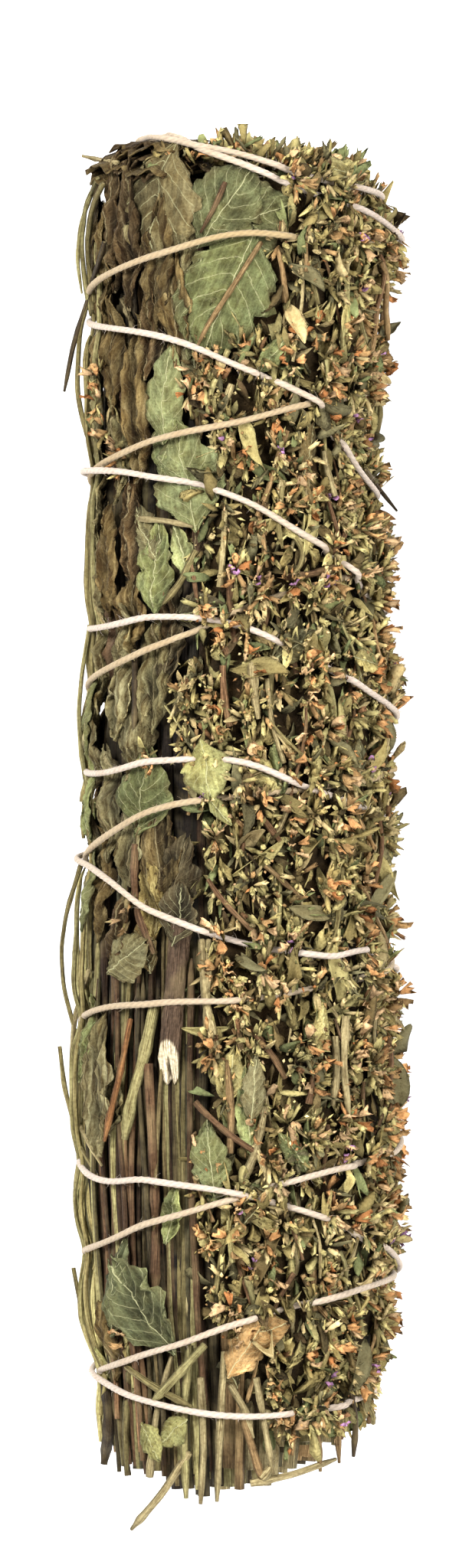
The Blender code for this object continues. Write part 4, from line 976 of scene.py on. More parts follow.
# Mint leaves seen from above: x from the axis, y, length, width, turn from +Y, rise over the
# row of stems, how crumpled, how many pleats, and tone.
LEAVES = (
    (-12.6, 95.2, 18, 21, -172, 0.6, 0.6, 1, "dusk"),
    (1.5, 92.8, 16, 13, 75, 0.3, 0.35, 0, "dull_green"),
    (-2.0, 94.6, 15, 13, 38, 0.7, 0.35, 0, "dull_green"),
    (-1.8, 81.2, 20, 16, -155, 0.9, 0.35, 0, "green"),
    (-6.6, 79.0, 15, 9, -172, 0.5, 0.4, 1, "dull_green"),
    (-19.6, 92.7, 21, 10, 2, 0.3, 0.9, 3, "umber"),
    (-17.0, 90.7, 23, 10, -3, 0.7, 0.9, 3, "umber"),
    (-20.8, 86.2, 18, 9, 4, 0.3, 0.8, 3, "olive_brown"),
    (-12.6, 86.0, 20, 11, 5, 0.7, 0.9, 3, "olive_brown"),
    (-10.1, 79.5, 18, 10, -4, 0.6, 0.8, 2, "olive_brown"),
    (-8.5, 88.4, 13, 7, 3, 0.4, 0.7, 2, "grey_olive"),
    (-19.4, 71.9, 18, 10, -5, 0.5, 0.8, 3, "olive_brown"),
    (-16.0, 65.4, 25, 10, 3, 0.6, 0.9, 3, "olive_brown"),
    (-19.0, 57.5, 16, 9, -3, 0.5, 0.8, 2, "grey_olive"),
    (-13.8, 75.4, 14, 6, 4, 0.3, 0.8, 3, "umber"),
    (-22.4, 63.0, 15, 8, 2, 0.8, 0.6, 2, "grey_olive"),
    (-22.8, 74.5, 13, 8, 3, 0.8, 0.7, 2, "olive_brown"),
    (-22.8, 50.0, 14, 7, -3, 0.8, 0.6, 2, "sage"),
    (-7.3, 71.9, 10, 6, -10, 0.2, 0.6, 1, "grey_olive"),
    (-11.6, 66.0, 15, 7.5, 8, 1.1, 0.35, 0, "pale_green"),
    (-8.5, 53.2, 16, 13, -14, 1.2, 0.35, 0, "pale_green"),
    (-11.4, 58.3, 9, 8, 20, 0.8, 0.4, 0, "green"),
    (-20.1, 40.6, 17, 11, 0, 0.7, 0.8, 2, "olive_brown"),
    (-16.6, 44.9, 15, 9, -4, 0.4, 0.8, 3, "umber"),
    (-22.6, 39.0, 15, 8, 2, 0.6, 0.7, 2, "sage"),
    (-12.9, 39.4, 14, 9, 8, 0.9, 0.5, 1, "green"),
    (-14.2, 44.7, 9, 8, -30, 0.7, 0.5, 1, "grey_olive"),
    (-8.7, 41.8, 9, 5, -20, 0.6, 0.5, 1, "pale_green"),
    (-6.5, 32.9, 9, 7, 80, 0.9, 0.4, 1, "grey_dark"),
    (-17.3, 31.9, 13, 11, 20, 0.3, 0.6, 2, "olive_brown"),
    (-18.2, 23.5, 20, 11, 2, 0.7, 0.8, 3, "sage"),
    (-13.2, 23.0, 17, 10, -3, 0.6, 0.8, 3, "grey_olive"),
    (-22.1, 22.5, 18, 9, 2, 0.5, 0.8, 3, "sage"),
    (-10.6, 27.0, 12, 7, 10, 0.3, 0.7, 2, "grey_dark"),
    (-16.2, 14.8, 15, 12, 12, 0.7, 0.6, 2, "sage"),
    (-5.2, 8.6, 8.6, 7.6, 172, 3.5, 0.1, 0, "fresh"),
    (-3.2, 2.6, 6, 2.6, 140, 2.6, 0.2, 1, "fresh"),
    (-15.2, 5.1, 13, 12, 12, 1.1, 0.45, 0, "green"),
    (-20.5, 3.4, 17, 11, 0, 0.5, 0.7, 2, "sage"),
    (-22.8, 12.0, 14, 9, 0, 1.5, 0.6, 2, "sage"),
    (-23.6, 16.5, 12, 8, 4, 2.1, 0.5, 1, "dull_green"),
    (-23.7, 4.5, 13, 8, -4, 2.1, 0.5, 1, "green"),
    (-23.7, -9.5, 13, 8, 3, 2.0, 0.5, 1, "dull_green"),
    (-12.4, -3.7, 15, 11, -8, 0.7, 0.6, 2, "olive_brown"),
    (-9.4, -7.4, 12, 10, 15, 0.8, 0.6, 2, "grey_dark"),
    (-9.7, -13.4, 9, 8.5, 8, 2.3, 0.5, 1, "grey_dark"),
    (-13.6, -11.0, 12, 8, -6, 1.0, 0.6, 2, "olive"),
    (-17.2, -4.5, 16, 11, 4, 0.5, 0.7, 2, "sage"),
    (-23.2, -4.0, 14, 8, 0, 1.4, 0.6, 2, "sage"),
    (-21.3, -9.0, 17, 9, -2, 0.5, 0.8, 3, "olive_brown"),
    (-18.5, -16.1, 13, 8, 5, 0.9, 0.7, 2, "umber"),
    (-17.4, -20.0, 9, 8, 60, 2.0, 0.3, 0, "grey_olive"),
    (-14.4, -18.4, 8, 6, -20, 0.5, 0.5, 1, "olive_brown"),
    (-21.6, -39.6, 21, 12, -3, 1.9, 0.7, 2, "sage"),
    (-19.2, -42.0, 10, 7, 8, 1.0, 0.6, 2, "grey_olive"),
    (-23.6, -32.6, 13, 8, 4, 1.8, 0.5, 2, "green"),
    (-5.2, -49.2, 9, 5, 6, 1.0, 0.4, 1, "green"),
    (1.3, -43.3, 13, 4.4, -3, 1.2, 0.4, 1, "green"),
    (-15.6, -73.3, 17, 16, -38, 2.3, 0.75, 1, "deep_green"),
    (-18.8, -70.5, 15, 9, 12, 2.0, 0.6, 1, "deep_green"),
    (-20.4, -79.0, 12, 7, 4, 1.9, 0.6, 2, "olive_brown"),
    (-10.6, -59.1, 9, 5, 10, 1.0, 0.5, 1, "green"),
    (0.8, -80.0, 9, 7.5, 35, 2.4, 0.5, 1, "tan"),
    (3.6, -76.8, 8, 6.5, 75, 2.4, 0.3, 1, "tan"),
    (2.2, -40.0, 10, 3.6, 4, 2.4, 0.3, 0, "sage"),
    (-4.4, -51.0, 10, 6.0, -4, 2.2, 0.2, 0, "pale_green"),
    (-1.4, -83.3, 5, 3.5, -30, 1.0, 0.3, 1, "olive_brown"),
    (-13.6, -94.0, 6.4, 5.2, 150, 2.3, 0.1, 0, "fresh"),
    (-10.1, -92.4, 6.0, 5.0, -130, 2.0, 0.1, 0, "fresh"),
    (-22.4, -82.6, 5, 4.2, 20, 2.2, 0.1, 0, "fresh"),
    (-22.2, 31.5, 6.5, 1.8, 5, 1.0, 0.2, 1, "straw"),
    (16.2, 100.2, 6.6, 4.8, 95, 1.6, 0.2, 0, "straw_green"),
    (9.0, 27.6, 8, 5.6, 60, 1.8, 0.3, 1, "grey_olive"),
    (19.9, 25.3, 7, 4, 100, 1.6, 0.3, 1, "straw_green"),
    (10.4, 57.7, 8, 4, 15, 1.5, 0.3, 1, "olive_brown"),
    (5.1, 71.9, 7, 4, 40, 1.4, 0.3, 1, "green"),
    (18.6, 9.3, 8, 4, -10, 1.5, 0.3, 1, "grey_olive"),
    (3.9, 8.1, 9, 5, -60, 1.2, 0.3, 1, "straw_green"),
    (12.7, -30.8, 8, 3.6, 5, 1.5, 0.3, 1, "straw_green"),
    (3.9, -56.8, 9, 4.4, 40, 1.2, 0.3, 1, "olive_brown"),
    (8.6, -49.7, 8, 4, -40, 1.4, 0.3, 1, "green"),
    (-1.4, -37.9, 9, 5, 10, 0.9, 0.3, 1, "straw_green"),
)
LEAF_SEAT = 21.9

# Flower heads that lie among the mint leaves, as theta and y.
LEAFY_HEADS = np.array([(-66.0, 65.0), (-63.0, 61.0), (-60.0, 57.5), (-69.0, 69.0), (-57.0, 55.0),
                        (-38.0, 10.5), (-46.0, -14.0), (-52.0, -78.0), (-20.0, 66.0), (-17.0, 70.0)])


# Leaves folded over the leafy end, seen as rims: theta from and to, rho of the rim, and y.
TIP_RIMS = (
    (-90, -30, 24.4, 101.2), (-80, -34, 23.0, 102.7), (-78, -26, 23.6, 103.8), (-76, -30, 22.4, 104.7),
    (-84, -48, 22.6, 105.4), (-70, -22, 22.6, 105.8), (-120, -70, 23.8, 100.2), (-60, -30, 23.6, 100.7),
)


def noise_waves(draw, a, b, amplitude, shortest, longest, count=6):
    """Sum of sines in random directions, as crumpled tissue has."""
    total = 0 * a
    for _ in range(count):
        length = draw.uniform(shortest, longest)
        way = draw.uniform(0, 2 * math.pi)
        total = total + np.sin(2 * math.pi / length * (a * math.cos(way) + b * math.sin(way))
                               + draw.uniform(0, 6.28)) * length
    return amplitude * total / (count * (shortest + longest) / 2) * 1.6


def mint_leaf(leaf, draw, theta=None, detail=1.0):
    """One leaf as a part. Outline: half width w = width/2 * sin(pi u**0.8)**0.8 with saw teeth
    and tears near the edge. Height: pleats run along it, waves and sharp folds, where a wave
    crosses 0, crumple it, and its midrib and side veins, at u = k/7 + 0.2 |v|, stand out."""
    x, y, length, width, turn, rise, crumple, pleats, name = leaf
    rows = int((10 + 1.25 * length) * detail)
    columns = int((7 + (1.15 if pleats > 1 else 0.8) * width) * detail) | 1
    u, v = grid_of(rows, columns)
    half = width / 2 * np.maximum(np.sin(math.pi * np.clip(u, 0.012, 0.992) ** 0.8), 0.06) ** 0.8
    teeth = max(4, round(length / 1.7))
    saw = np.mod(u * teeth + draw.uniform(), 1) - 0.5
    edge = smooth(np.abs(v), 0.68, 1.0)
    frayed = 0.16 * crumple * np.sin(u * 23 + 5 * np.sign(v) + draw.uniform(0, 6))
    ragged = 1 + edge * (0.11 * saw + frayed)
    for _ in range(round(1 + 9 * crumple)):
        torn = np.exp(-(((u - draw.uniform(0.12, 0.95)) / draw.uniform(0.012, 0.05)) ** 2))
        depth = draw.uniform(0.1, 0.5) * min(1, 0.4 + crumple)
        ragged = ragged - depth * torn * edge * (np.sign(v) == draw.choice([-1, 1]))
    a = (u - 0.5) * length + 0.12 * width * np.abs(v) ** 1.5 - 0.05 * width
    b = v * half * ragged * (1 - 0.42 * crumple * min(pleats, 1))
    phase = draw.uniform(0, 6.28, 3)
    spine = 1.1 * np.sin(u * 4 + phase[0])
    fold = np.sin(v * (1 + pleats) * 1.25 + spine + phase[1]) * min(pleats, 1)
    fold = np.sign(fold) * np.abs(fold) ** 0.7
    height = crumple * 0.85 * fold * (0.4 + 0.6 * np.sin(math.pi * u))
    height = height + 0.3 * crumple * np.abs(np.sin(v * 6 + 3 * spine + phase[2])) * min(pleats, 1)
    height = height + noise_waves(draw, a, b, 0.1 + 0.3 * crumple, 2.2, 7.0)
    sharp = np.abs(noise_waves(draw, 0.5 * a + 0.3 * b, b - 0.2 * a, 1.0, 1.8, 4.5, 8))
    height = height + 0.75 * crumple * min(pleats, 2) / 2 * (0.45 - sharp)
    height = height + noise_waves(draw, a, b, 0.07 + 0.08 * crumple, 0.9, 2.0, 8)
    lean = u * 7 - 1.5 * np.abs(v) + 0.25 * np.sign(v) + phase[2]
    vein = np.exp(-(((np.mod(lean, 1) - 0.5) / 0.06) ** 2)) * (1 - np.abs(v) ** 6)
    midrib = np.exp(-((b / 0.17) ** 2)) + 0 * u
    height = height + 0.08 * vein + 0.15 * midrib - 0.15 * np.cos(lean * 2 * math.pi) * (1 - edge)
    height = height - 0.25 * edge * (1 - crumple) + draw.uniform(-0.5, 1.0) * edge * (v > 0) * crumple
    bearing = math.radians(turn)
    rho = LEAF_SEAT + rise + height
    here_y = y + a * math.cos(bearing) - b * math.sin(bearing)
    if theta is None:
        side = np.array(-90.0 if x < 0 else 90.0)
        radius = float(squeezed(np.array(LEAF_SEAT + rise), side, np.array(y), False))
        theta = math.degrees(math.asin(max(-0.98, min(0.98, x / radius))))
    here_theta = theta + np.degrees((a * math.sin(bearing) + b * math.cos(bearing)) / SEAT)
    points = on_bundle(rho, here_theta, here_y)
    base = tone(name) * (1 + 0.15 * draw.standard_normal())
    cloud = noise_waves(draw, a, b, 0.26, 2.0, 8.0)[..., None]
    streak = noise_waves(draw, 0 * a, b, 0.3 * min(pleats, 1), 0.5, 2.0)[..., None]
    colour = base * (1 + cloud + streak).clip(0.35, 2)
    # Painted shade: the colour darkens down into the valleys of the folds and crumples, with more contrast at
    # crumpled edges.
    colour = colour * (0.32 + (0.9 + 0.5 * crumple * edge) * smooth(height, -0.9, 0.95))[..., None]
    burnt = (edge * np.clip(0.5 + np.sin(u * 17 + phase[0]), 0, 1) * 0.6 * (1 - 0.7 * crumple))[..., None]
    colour = colour * (1 - burnt) + tone("umber") * burnt
    runs = np.stack([b + 0 * u, lean + draw.integers(0, 90) + 0 * b], -1)
    points = rested(tucked(points, 1.15 - 0.45 * crumple))
    return points, sheet_faces(rows, columns), colour.clip(0.005, 1), runs


# The pieces


def core_parts(draw):
    """The packed litter inside, a closed bumpy tube tinted near black as painted shade for the gaps between
    the herbs: rho is 20.6 on the oregano side and 18.9 on the leafy side, with waves of 0.5."""
    rings, sides = 110, 84
    y = np.linspace(-90, 99, rings)[:, None]
    theta = np.arange(sides)[None, :] * 360 / sides
    start = eased(TOPS_START, y[:, 0])[:, None]
    into = np.mod(theta - start, 360)
    inside = smooth(into, 0, 8) * (1 - smooth(into, TOPS_END - 8, TOPS_END + 20))
    rho = 18.9 + 1.7 * inside + noise_waves(draw, y + 0 * theta, theta * 0.42 + 0 * y, 0.5, 2, 6, 9)
    rho = rho * np.minimum(1, ((99.5 - y) / 5 + 0.35).clip(0, 1)) ** 0.3
    points = on_bundle(rho, theta, y).reshape(-1, 3)
    points = np.vstack([points, [AXIS_X, -88, AXIS_Z], [AXIS_X, 99.5, AXIS_Z]])
    # Painted shade: the litter is tinted near black for the shade deep in the gaps.
    tints = np.array([0.035, 0.024, 0.009]) * draw.uniform(0.5, 1.5, (len(points), 1))
    return [(rested(points), tube_faces(rings, sides), tints, np.zeros((len(points), 2)))]


def end_stems(draw):
    """The cut stems that fill the bundle's lower end, on a jittered grid of triangles."""
    paths, radii, names = [], [], []
    kinds, shares = ["olive", "straw", "tan", "umber", "straw_green"], [0.3, 0.2, 0.2, 0.15, 0.15]
    spacing = 3.0
    for i in range(-8, 9):
        for j in range(-8, 9):
            across = (i + 0.5 * (j % 2)) * spacing + draw.uniform(-0.5, 0.5)
            up = j * spacing * 0.87 + draw.uniform(-0.5, 0.5)
            rho = math.hypot(across, up)
            if rho > 20.6:
                continue
            theta = math.degrees(math.atan2(across, up))
            start = float(cut_level(theta, rho)) + draw.uniform(0.2, 6.5)
            paths.append(along_bundle(theta, rho, start, -58 + draw.uniform(-6, 6), draw, 0.6, points=10))
            radii.append(draw.uniform(0.6, 1.45))
            names.append(draw.choice(kinds, p=shares))
    tints = [tone(n) * draw.uniform(0.35, 0.85) for n in names]
    return stems_of(paths, radii, tints, draw, rings=12)


def surface_stems(draw, count, thetas, starts, ends, rhos, widths, names, darkness, sway=1.6, rings=56,
                  sides=7, drawn_in=True):
    """Stems laid side by side over a stretch of theta, held down by the twine where they meet
    it and bulging between its turns. Under the woody branch they lie lower and run on past its
    cut. Without starts they begin at the bundle's cut end."""
    paths, radii, tints = [], [], []
    for k in range(count):
        theta = thetas[0] + (thetas[1] - thetas[0]) * (k + draw.uniform(0, 1)) / count
        rho = draw.uniform(*rhos)
        if starts:
            start = draw.uniform(*starts)
        else:
            start = float(cut_level(theta, rho)) + draw.uniform(-0.5, 4.5)
        end = draw.uniform(*ends)
        if WOOD_THETA - 9 < theta < WOOD_THETA + 7:
            end = max(end, WOOD_END + draw.uniform(2, 8))
            rho = min(rho, 20.1 + draw.uniform(-0.3, 0.3))
        drift = draw.uniform(-5, 5)
        path = tucked(along_bundle(theta, rho, start, end, draw, sway, drift, 70, drawn_in), 0.5)
        for _ in range(2 if drawn_in else 5):
            path[2:-2] = (path[:-4] + 2 * path[1:-3] + 3 * path[2:-2] + 2 * path[3:-1] + path[4:]) / 9
        paths.append(rested(path, 1.0))
        radii.append(draw.uniform(*widths))
        name = draw.choice(names)
        tints.append(tone(name) * (darkness[0] + (darkness[1] - darkness[0]) * draw.uniform() ** 1.4))
    return stems_of(paths, radii, tints, draw, rings, sides, taper=0.7, paled=0.45)


def woody_branch(draw):
    """The thick dark branch, cut across on a slant: a tube round a line whose last ring is
    sheared along it by slant * sin(angle), closed by a pale face of shrinking rings. A split
    exp(-(across / (0.2 - 0.12 height))**4) is sunk in the face's lower half."""
    sides, rings, inner = 48, 60, 16
    radius, top, cut, slant = 1.62, -14.0, -36.3, 3.4
    angle = np.arange(sides)[None, :] * 2 * math.pi / sides
    s = np.linspace(0, 1, rings)[:, None]
    knob = 0.12 * np.exp(-((s - 0.1) / 0.06) ** 2)
    bark = 1 + 0.04 * np.sin(angle * 9 + s * 14) + 0.03 * np.sin(angle * 4 - s * 40) + knob
    across = radius * bark * np.cos(angle)
    height = radius * bark * np.sin(angle)
    along = top - s * (top - cut - slant * s**3 * np.sin(angle))
    shrink = np.linspace(1, 0, inner + 1)[1:-1, None]
    across = np.append(np.vstack([across, radius * shrink * np.cos(angle)]).ravel(), [0, 0])
    height = np.append(np.vstack([height, radius * shrink * np.sin(angle)]).ravel(), [0, 0])
    along = np.append(np.vstack([along, cut + slant * shrink * np.sin(angle)]).ravel(), [top, cut])
    face_rings = np.ones(inner - 1)
    on_face = np.append(np.repeat(np.append(smooth(s[:, 0], 0.97, 1.0), face_rings), sides), [0, 1])
    split = np.exp(-((across / (0.2 - 0.12 * height)) ** 4)) * smooth(-height, -0.7, 0.1) * on_face
    along, height = along + 1.2 * split, height - 0.9 * split
    lean = 0.3 + 0.075 * (along - top)
    radial = squeezed(np.full(len(along), 21.6), np.full(len(along), WOOD_THETA), along, False) + height
    turn = math.radians(WOOD_THETA)
    x = AXIS_X + radial * math.sin(turn) + across * math.cos(turn) + lean
    z = AXIS_Z + radial * math.cos(turn) - across * math.sin(turn)
    tints = tone("bark") * np.array([1.0, 0.95, 0.9]) * draw.uniform(0.75, 1.25, (len(along), 1))
    pale = smooth(np.repeat(np.append(s[:, 0], face_rings), sides), 0.93, 0.999)
    pale = np.append(pale, [0, 1])[:, None]
    tints = tints * (1 - pale) + tone("cream") * 1.15 * pale
    # Painted shade: the split is tinted near black inside.
    tints = tints * (1 - 0.95 * split[:, None])
    runs = np.stack([across * 1.5, along], -1)
    points = np.stack([x, along, z], -1)
    return [(points, tube_faces(rings + inner - 1, sides), tints, runs)]


def oregano_centres(draw, pitch, low=-93.0, high=101.0):
    """Places of flower heads: a jittered grid of theta and y, wherever the tops reach."""
    rows = int((high - low) / (pitch * 0.87))
    columns = int(2 * math.pi * SEAT / pitch)
    row, column = (g.ravel() for g in np.meshgrid(np.arange(rows), np.arange(columns), indexing="ij"))
    y = low + (row + draw.uniform(0.05, 0.95, len(row))) * (high - low) / rows
    theta = (column + 0.5 * (row % 2) + draw.uniform(-0.45, 0.45, len(row))) * 360 / columns
    start = eased(TOPS_START, y)
    into = np.mod(theta - start, 360)
    kept = (into > 0) & (into < TOPS_END - start)
    below = (theta % 360 > UNDERSIDE[0]) & (theta % 360 < UNDERSIDE[1])
    kept &= ~below | (draw.uniform(size=len(theta)) < UNDERSIDE_SHARE)
    kept &= y > -92.8 + 2.6 * np.sin(np.radians(theta)) ** 2
    return theta[kept] % 360, y[kept]


def heads(draw, theta, y, forms, layers):
    """Flower heads round centres, layer by layer."""
    parts = []
    for share, level, each, lengths, widths, lifts, form, tones, spread, shade in layers:
        some = draw.uniform(size=len(theta)) < share if share < 1 else np.ones(len(theta), bool)
        parts += head_layer(draw, theta[some], y[some], level, each, lengths, widths, lifts, forms[form],
                            tones, spread, shade)
    return parts


def head_layer(draw, theta, y, level, each, lengths, widths, lifts, forms, tones, spread, shade):
    """Forms that radiate from each centre: bearings all round, lifted at random."""
    n = len(theta)
    centre_theta, centre_y = np.repeat(theta, each), np.repeat(y, each)
    bearing = np.tile(np.arange(each) * 360 / each, n) + draw.uniform(-25, 25, n * each)
    bearing = bearing + np.repeat(draw.uniform(0, 360, n), each)
    bearing = bearing - 24 * np.sin(np.radians(2 * bearing))
    lift = draw.uniform(*lifts, n * each)
    foot = draw.uniform(0.2, spread, n * each)
    at_theta = centre_theta + np.degrees(foot * np.sin(np.radians(bearing)) / SEAT)
    at_y = centre_y + foot * np.cos(np.radians(bearing))
    rho = level + heaped(at_theta, at_y) + draw.uniform(-0.4, 0.4, n * each)
    rho = rho + np.repeat(1.1 * np.sin(theta / 11 + y / 3.7) * np.sin(y / 4.9 - theta / 17), each)
    rho = rho - 2.2 * smooth(at_y, 97, 102)
    rho = rho + eased(RIGHT_FLUFF, at_y) * np.clip(np.sin(np.radians(at_theta)), 0, 1) ** 4
    at = on_bundle(rho, at_theta, at_y)
    axes = axes_at(at_theta, bearing, lift, draw.uniform(-60, 60, n * each))
    length = draw.uniform(*lengths, n * each)
    width = draw.uniform(*widths, n * each)
    size = np.stack([length, width, width], -1)
    mood = np.repeat(1 + 0.18 * draw.standard_normal(n), each)[:, None].clip(0.5, 1.5)
    colours = tinted(draw, n * each, tones) * mood
    return sown(forms, draw, at, axes, size, colours, shade)


def settled(parts):
    """Parts held under the twine and over the table."""
    return [(rested(tucked(points)), *others) for points, *others in parts]


def curls(draw, number, rows, columns, width, thickness, folds, bends, twists, peaks):
    """A number of curled forms, each drawn from ranges."""
    return [curl_form(rows, columns, width, draw.uniform(*folds), draw.uniform(*bends),
                      draw.uniform(*twists), thickness, draw.uniform(*peaks)) for _ in range(number)]


def small_leaves(draw):
    """Leaf forms from flat to folded, curled and twisted."""
    return curls(draw, 12, 6, 3, 1.0, 0.12, (0.1, 1.4), (-1.8, 1.8), (-1.8, 1.8), (0.36, 0.6))


def bract_forms(draw):
    """Narrow pointed bracts, bent outwards or inwards."""
    return curls(draw, 10, 5, 3, 1.0, 0.3, (0.2, 1.3), (-1.6, 1.3), (-1.0, 1.0), (0.3, 0.5))


def twine_parts(colours):
    """Three plies laid round each other: the ring's radius is R * (0.78 + 0.2 |cos(1.5 (angle - twist))|),
    and twist turns once in each lay along the route. The first layer is stained by the herbs on its upper
    half, both have stretches stained with dust, and near the tip they are mixed towards the stained colour as
    painted shade."""
    theta, y = ROUTE[:, 0], ROUTE[:, 2]
    sunk = np.convolve(UNDER_HERBS.astype(float), np.hanning(9) / np.hanning(9).sum(), "same")
    path = placed(COURSE - SUNK * sunk, theta, y)
    way = lengths_along(path)
    rings, sides = int(way[-1] / 0.62), 10
    s = np.linspace(0, way[-1], rings)
    line, along = resampled(path, way, s)
    layer = np.interp(s, way, ROUTE[:, 3])
    out = line - np.array([AXIS_X, 0, AXIS_Z]) * [1, 0, 1] - line * [0, 1, 0]
    out -= along * np.einsum("ij,ij->i", along, out)[:, None]
    out = unit(out)
    side = np.cross(along, out)
    angle = np.arange(sides)[None, :] * 2 * math.pi / sides
    twist = s[:, None] / TWINE_LAY * 2 * math.pi
    ply = np.abs(np.cos(1.5 * (angle - twist)))
    radius = TWINE_RADIUS * (0.78 + 0.2 * ply) * (1 + 0.05 * np.sin(s / 3.1)[:, None])
    ring = rings_round(line, side, out, angle, radius)
    points = rested(np.vstack([ring.reshape(-1, 3), line[:1], line[-1:]]))
    dust_and_tip_shade = smooth(np.sin(s / 31 + 1.3) + 0.6 * np.sin(s / 11), 0.1, 1.3) * 0.5
    # Painted shade: the twine over the tip is mixed towards the stained colour.
    dust_and_tip_shade = dust_and_tip_shade + 0.9 * smooth(line[:, 1], 98, 103)
    stained = 0.3 + 0.5 * smooth(line[:, 1], -50, 10)
    share = np.clip((1 - layer) * stained + dust_and_tip_shade * 0.5, 0, 1)[:, None]
    colour = np.array(colours[0]) * (1 - share) + np.array(colours[1]) * share
    # Painted shade: the colour darkens in the grooves between the plies.
    tints = colour[:, None, :] * (0.62 + 0.38 * ply)[..., None]
    tints = np.vstack([tints.reshape(-1, 3), tints[0, :1], tints[-1, :1]])
    runs = paired(angle * TWINE_RADIUS, s[:, None] - angle * 0.4).reshape(-1, 2)
    wound = (points, tube_faces(rings, sides)[:, ::-1], tints, np.vstack([runs, [[0, 0]] * 2]))
    return wound, line, along, out, side, colour


def fibre_parts(draw, line, along, out, side, colour, count):
    """Cotton fibres that stand off the twine: thin three sided hairs, each bent on a
    parabola."""
    at = draw.integers(5, len(line) - 5, count)
    angle = draw.uniform(0, 2 * math.pi, count)
    away = np.cos(angle)[:, None] * side[at] + np.sin(angle)[:, None] * out[at]
    lean = draw.uniform(-1, 1, count)[:, None]
    first = along[at] * lean * 0.9 + away * draw.uniform(0.3, 1.0, count)[:, None]
    other = np.cross(away, along[at])
    bend = along[at] * draw.uniform(-0.9, 0.9, count)[:, None]
    bend = bend + other * draw.uniform(-0.7, 0.7, count)[:, None]
    length = draw.uniform(0.3, 1.5, count)[:, None]
    rings, sides = 3, 3
    t = np.linspace(0, 1, rings)
    start = line[at] + away * TWINE_RADIUS * 0.8
    centre = start[:, None, :] + (first * length)[:, None, :] * t[None, :, None]
    centre = centre + (bend * length)[:, None, :] * (t**2)[None, :, None]
    ring = np.arange(sides)[None, :, None] * 2 * math.pi / sides
    spread = np.cos(ring) * other[:, None, :] + np.sin(ring) * along[at][:, None, :]
    radius = 0.024 * (1 - 0.6 * t)
    points = centre[:, :, None, :] + radius[None, :, None, None] * spread[:, None, :, :]
    points = np.concatenate([points.reshape(count, -1, 3), centre[:, :1], centre[:, -1:]], axis=1)
    size = points.shape[1]
    faces = repeated(tube_faces(rings, sides)[:, ::-1], count, size)
    tints = np.repeat(colour[at][:, None, :], size, axis=1) * 1.05
    return rested(points), faces, tints.clip(0, 1), np.zeros((count, size, 2))


# Blender's side: sizes and colours, operators and panel


class BundleSizes(bpy.types.PropertyGroup):
    """Sizes that a user would change."""

    head_pitch: bpy.props.FloatProperty(
        name="Flower head spacing", description="Distance between oregano flower heads", default=0.0051,
        min=0.004, max=0.012, unit="LENGTH")
    stem_count: bpy.props.IntProperty(
        name="Surface stems", description="Stems on the lower leafy side", default=50, min=10, max=90)
    fibre_count: bpy.props.IntProperty(
        name="Loose fibres", description="Cotton fibres that stand off the twine", default=2600,
        min=0, max=8000)
    seed: bpy.props.IntProperty(name="Seed", description="Seed of all random places", default=11, min=0)


class BundleColours(bpy.types.PropertyGroup):
    """Colours that a user would change."""

    twine_white: bpy.props.FloatVectorProperty(
        name="Twine", description="Clean cotton of the upper layer", default=(0.545, 0.465, 0.395), size=3,
        min=0, max=1, subtype="COLOR")
    twine_dusty: bpy.props.FloatVectorProperty(
        name="Dusty twine", description="Cotton stained by the herbs", default=(0.37, 0.28, 0.15), size=3,
        min=0, max=1, subtype="COLOR")
    floor: bpy.props.FloatVectorProperty(
        name="Floor", description="The plain surface the bundle lies on", default=(0.92, 0.92, 0.92),
        size=3, min=0, max=1, subtype="COLOR")


def sizes():
    return bpy.context.scene.bundle_sizes


def drawing(offset):
    """A random source of its own for each piece, from the one seed."""
    return np.random.default_rng(sizes().seed * 100 + offset)


class BUNDLE_OT_stage(bpy.types.Operator):
    """Floor, lights and camera"""

    bl_idname = "bundle.stage"
    bl_label = "Stage"

    def execute(self, _context):
        index = np.linspace(-1.2, 1.2, 25)
        x, y = np.meshgrid(index, index, indexing="ij")
        points = np.stack([x, y, 0 * x - 0.0002], -1).reshape(-1, 3)
        mesh = bpy.data.meshes.new("floor")
        mesh.from_pydata(points.tolist(), [], sheet_faces(25, 25)[:, ::-1].tolist())
        made = Shader("pale_floor", 0.9)
        speck = made.noise(60, 3)
        colour = tuple(bpy.context.scene.bundle_colours.floor)
        made.set("Base Color", made.mix(0.04 * speck, (*colour, 1), (0.8, 0.8, 0.8, 1)))
        mesh.materials.append(made.material)
        floor = linked("floor", mesh)
        for name, place, size, power in (
            ("key", (-0.45, 0.4, 0.75), 0.3, 16.0),
            ("fill", (0.55, 0.1, 0.8), 0.5, 13.0),
            ("low", (-0.1, -0.8, 0.5), 0.5, 7.0),
        ):
            lamp = bpy.data.lights.new(name, "AREA")
            lamp.size = size
            lamp.energy = power
            light = linked(name, lamp)
            light.location = place
            light.rotation_mode = "QUATERNION"
            light.rotation_quaternion = light.location.to_track_quat("Z", "Y")
        world = bpy.data.worlds.new("studio")
        world.use_nodes = True
        light_in = world.node_tree.nodes["Background"].inputs
        light_in["Color"].default_value = (1, 1, 1, 1)
        light_in["Strength"].default_value = 0.4
        bpy.context.scene.world = world
        lens = bpy.data.cameras.new("camera")
        lens.lens = 300
        lens.sensor_width = 36
        camera = linked("camera", lens)
        camera.location = (-0.00038, 0.00649, 2.035)
        bpy.context.scene.camera = camera
        bpy.context.scene.view_settings.view_transform = "Standard"
        return {"FINISHED"}


class BUNDLE_OT_core(bpy.types.Operator):
    """Packed litter inside the bundle, near black as painted shade in its gaps"""

    bl_idname = "bundle.core"
    bl_label = "Packed litter"

    def execute(self, _context):
        draw = drawing(1)
        finish = herb_finish("litter_in_painted_shade", 1.4, 1.0, 1.0)
        piece("litter_in_painted_shade", core_parts(draw), finish)
        return {"FINISHED"}


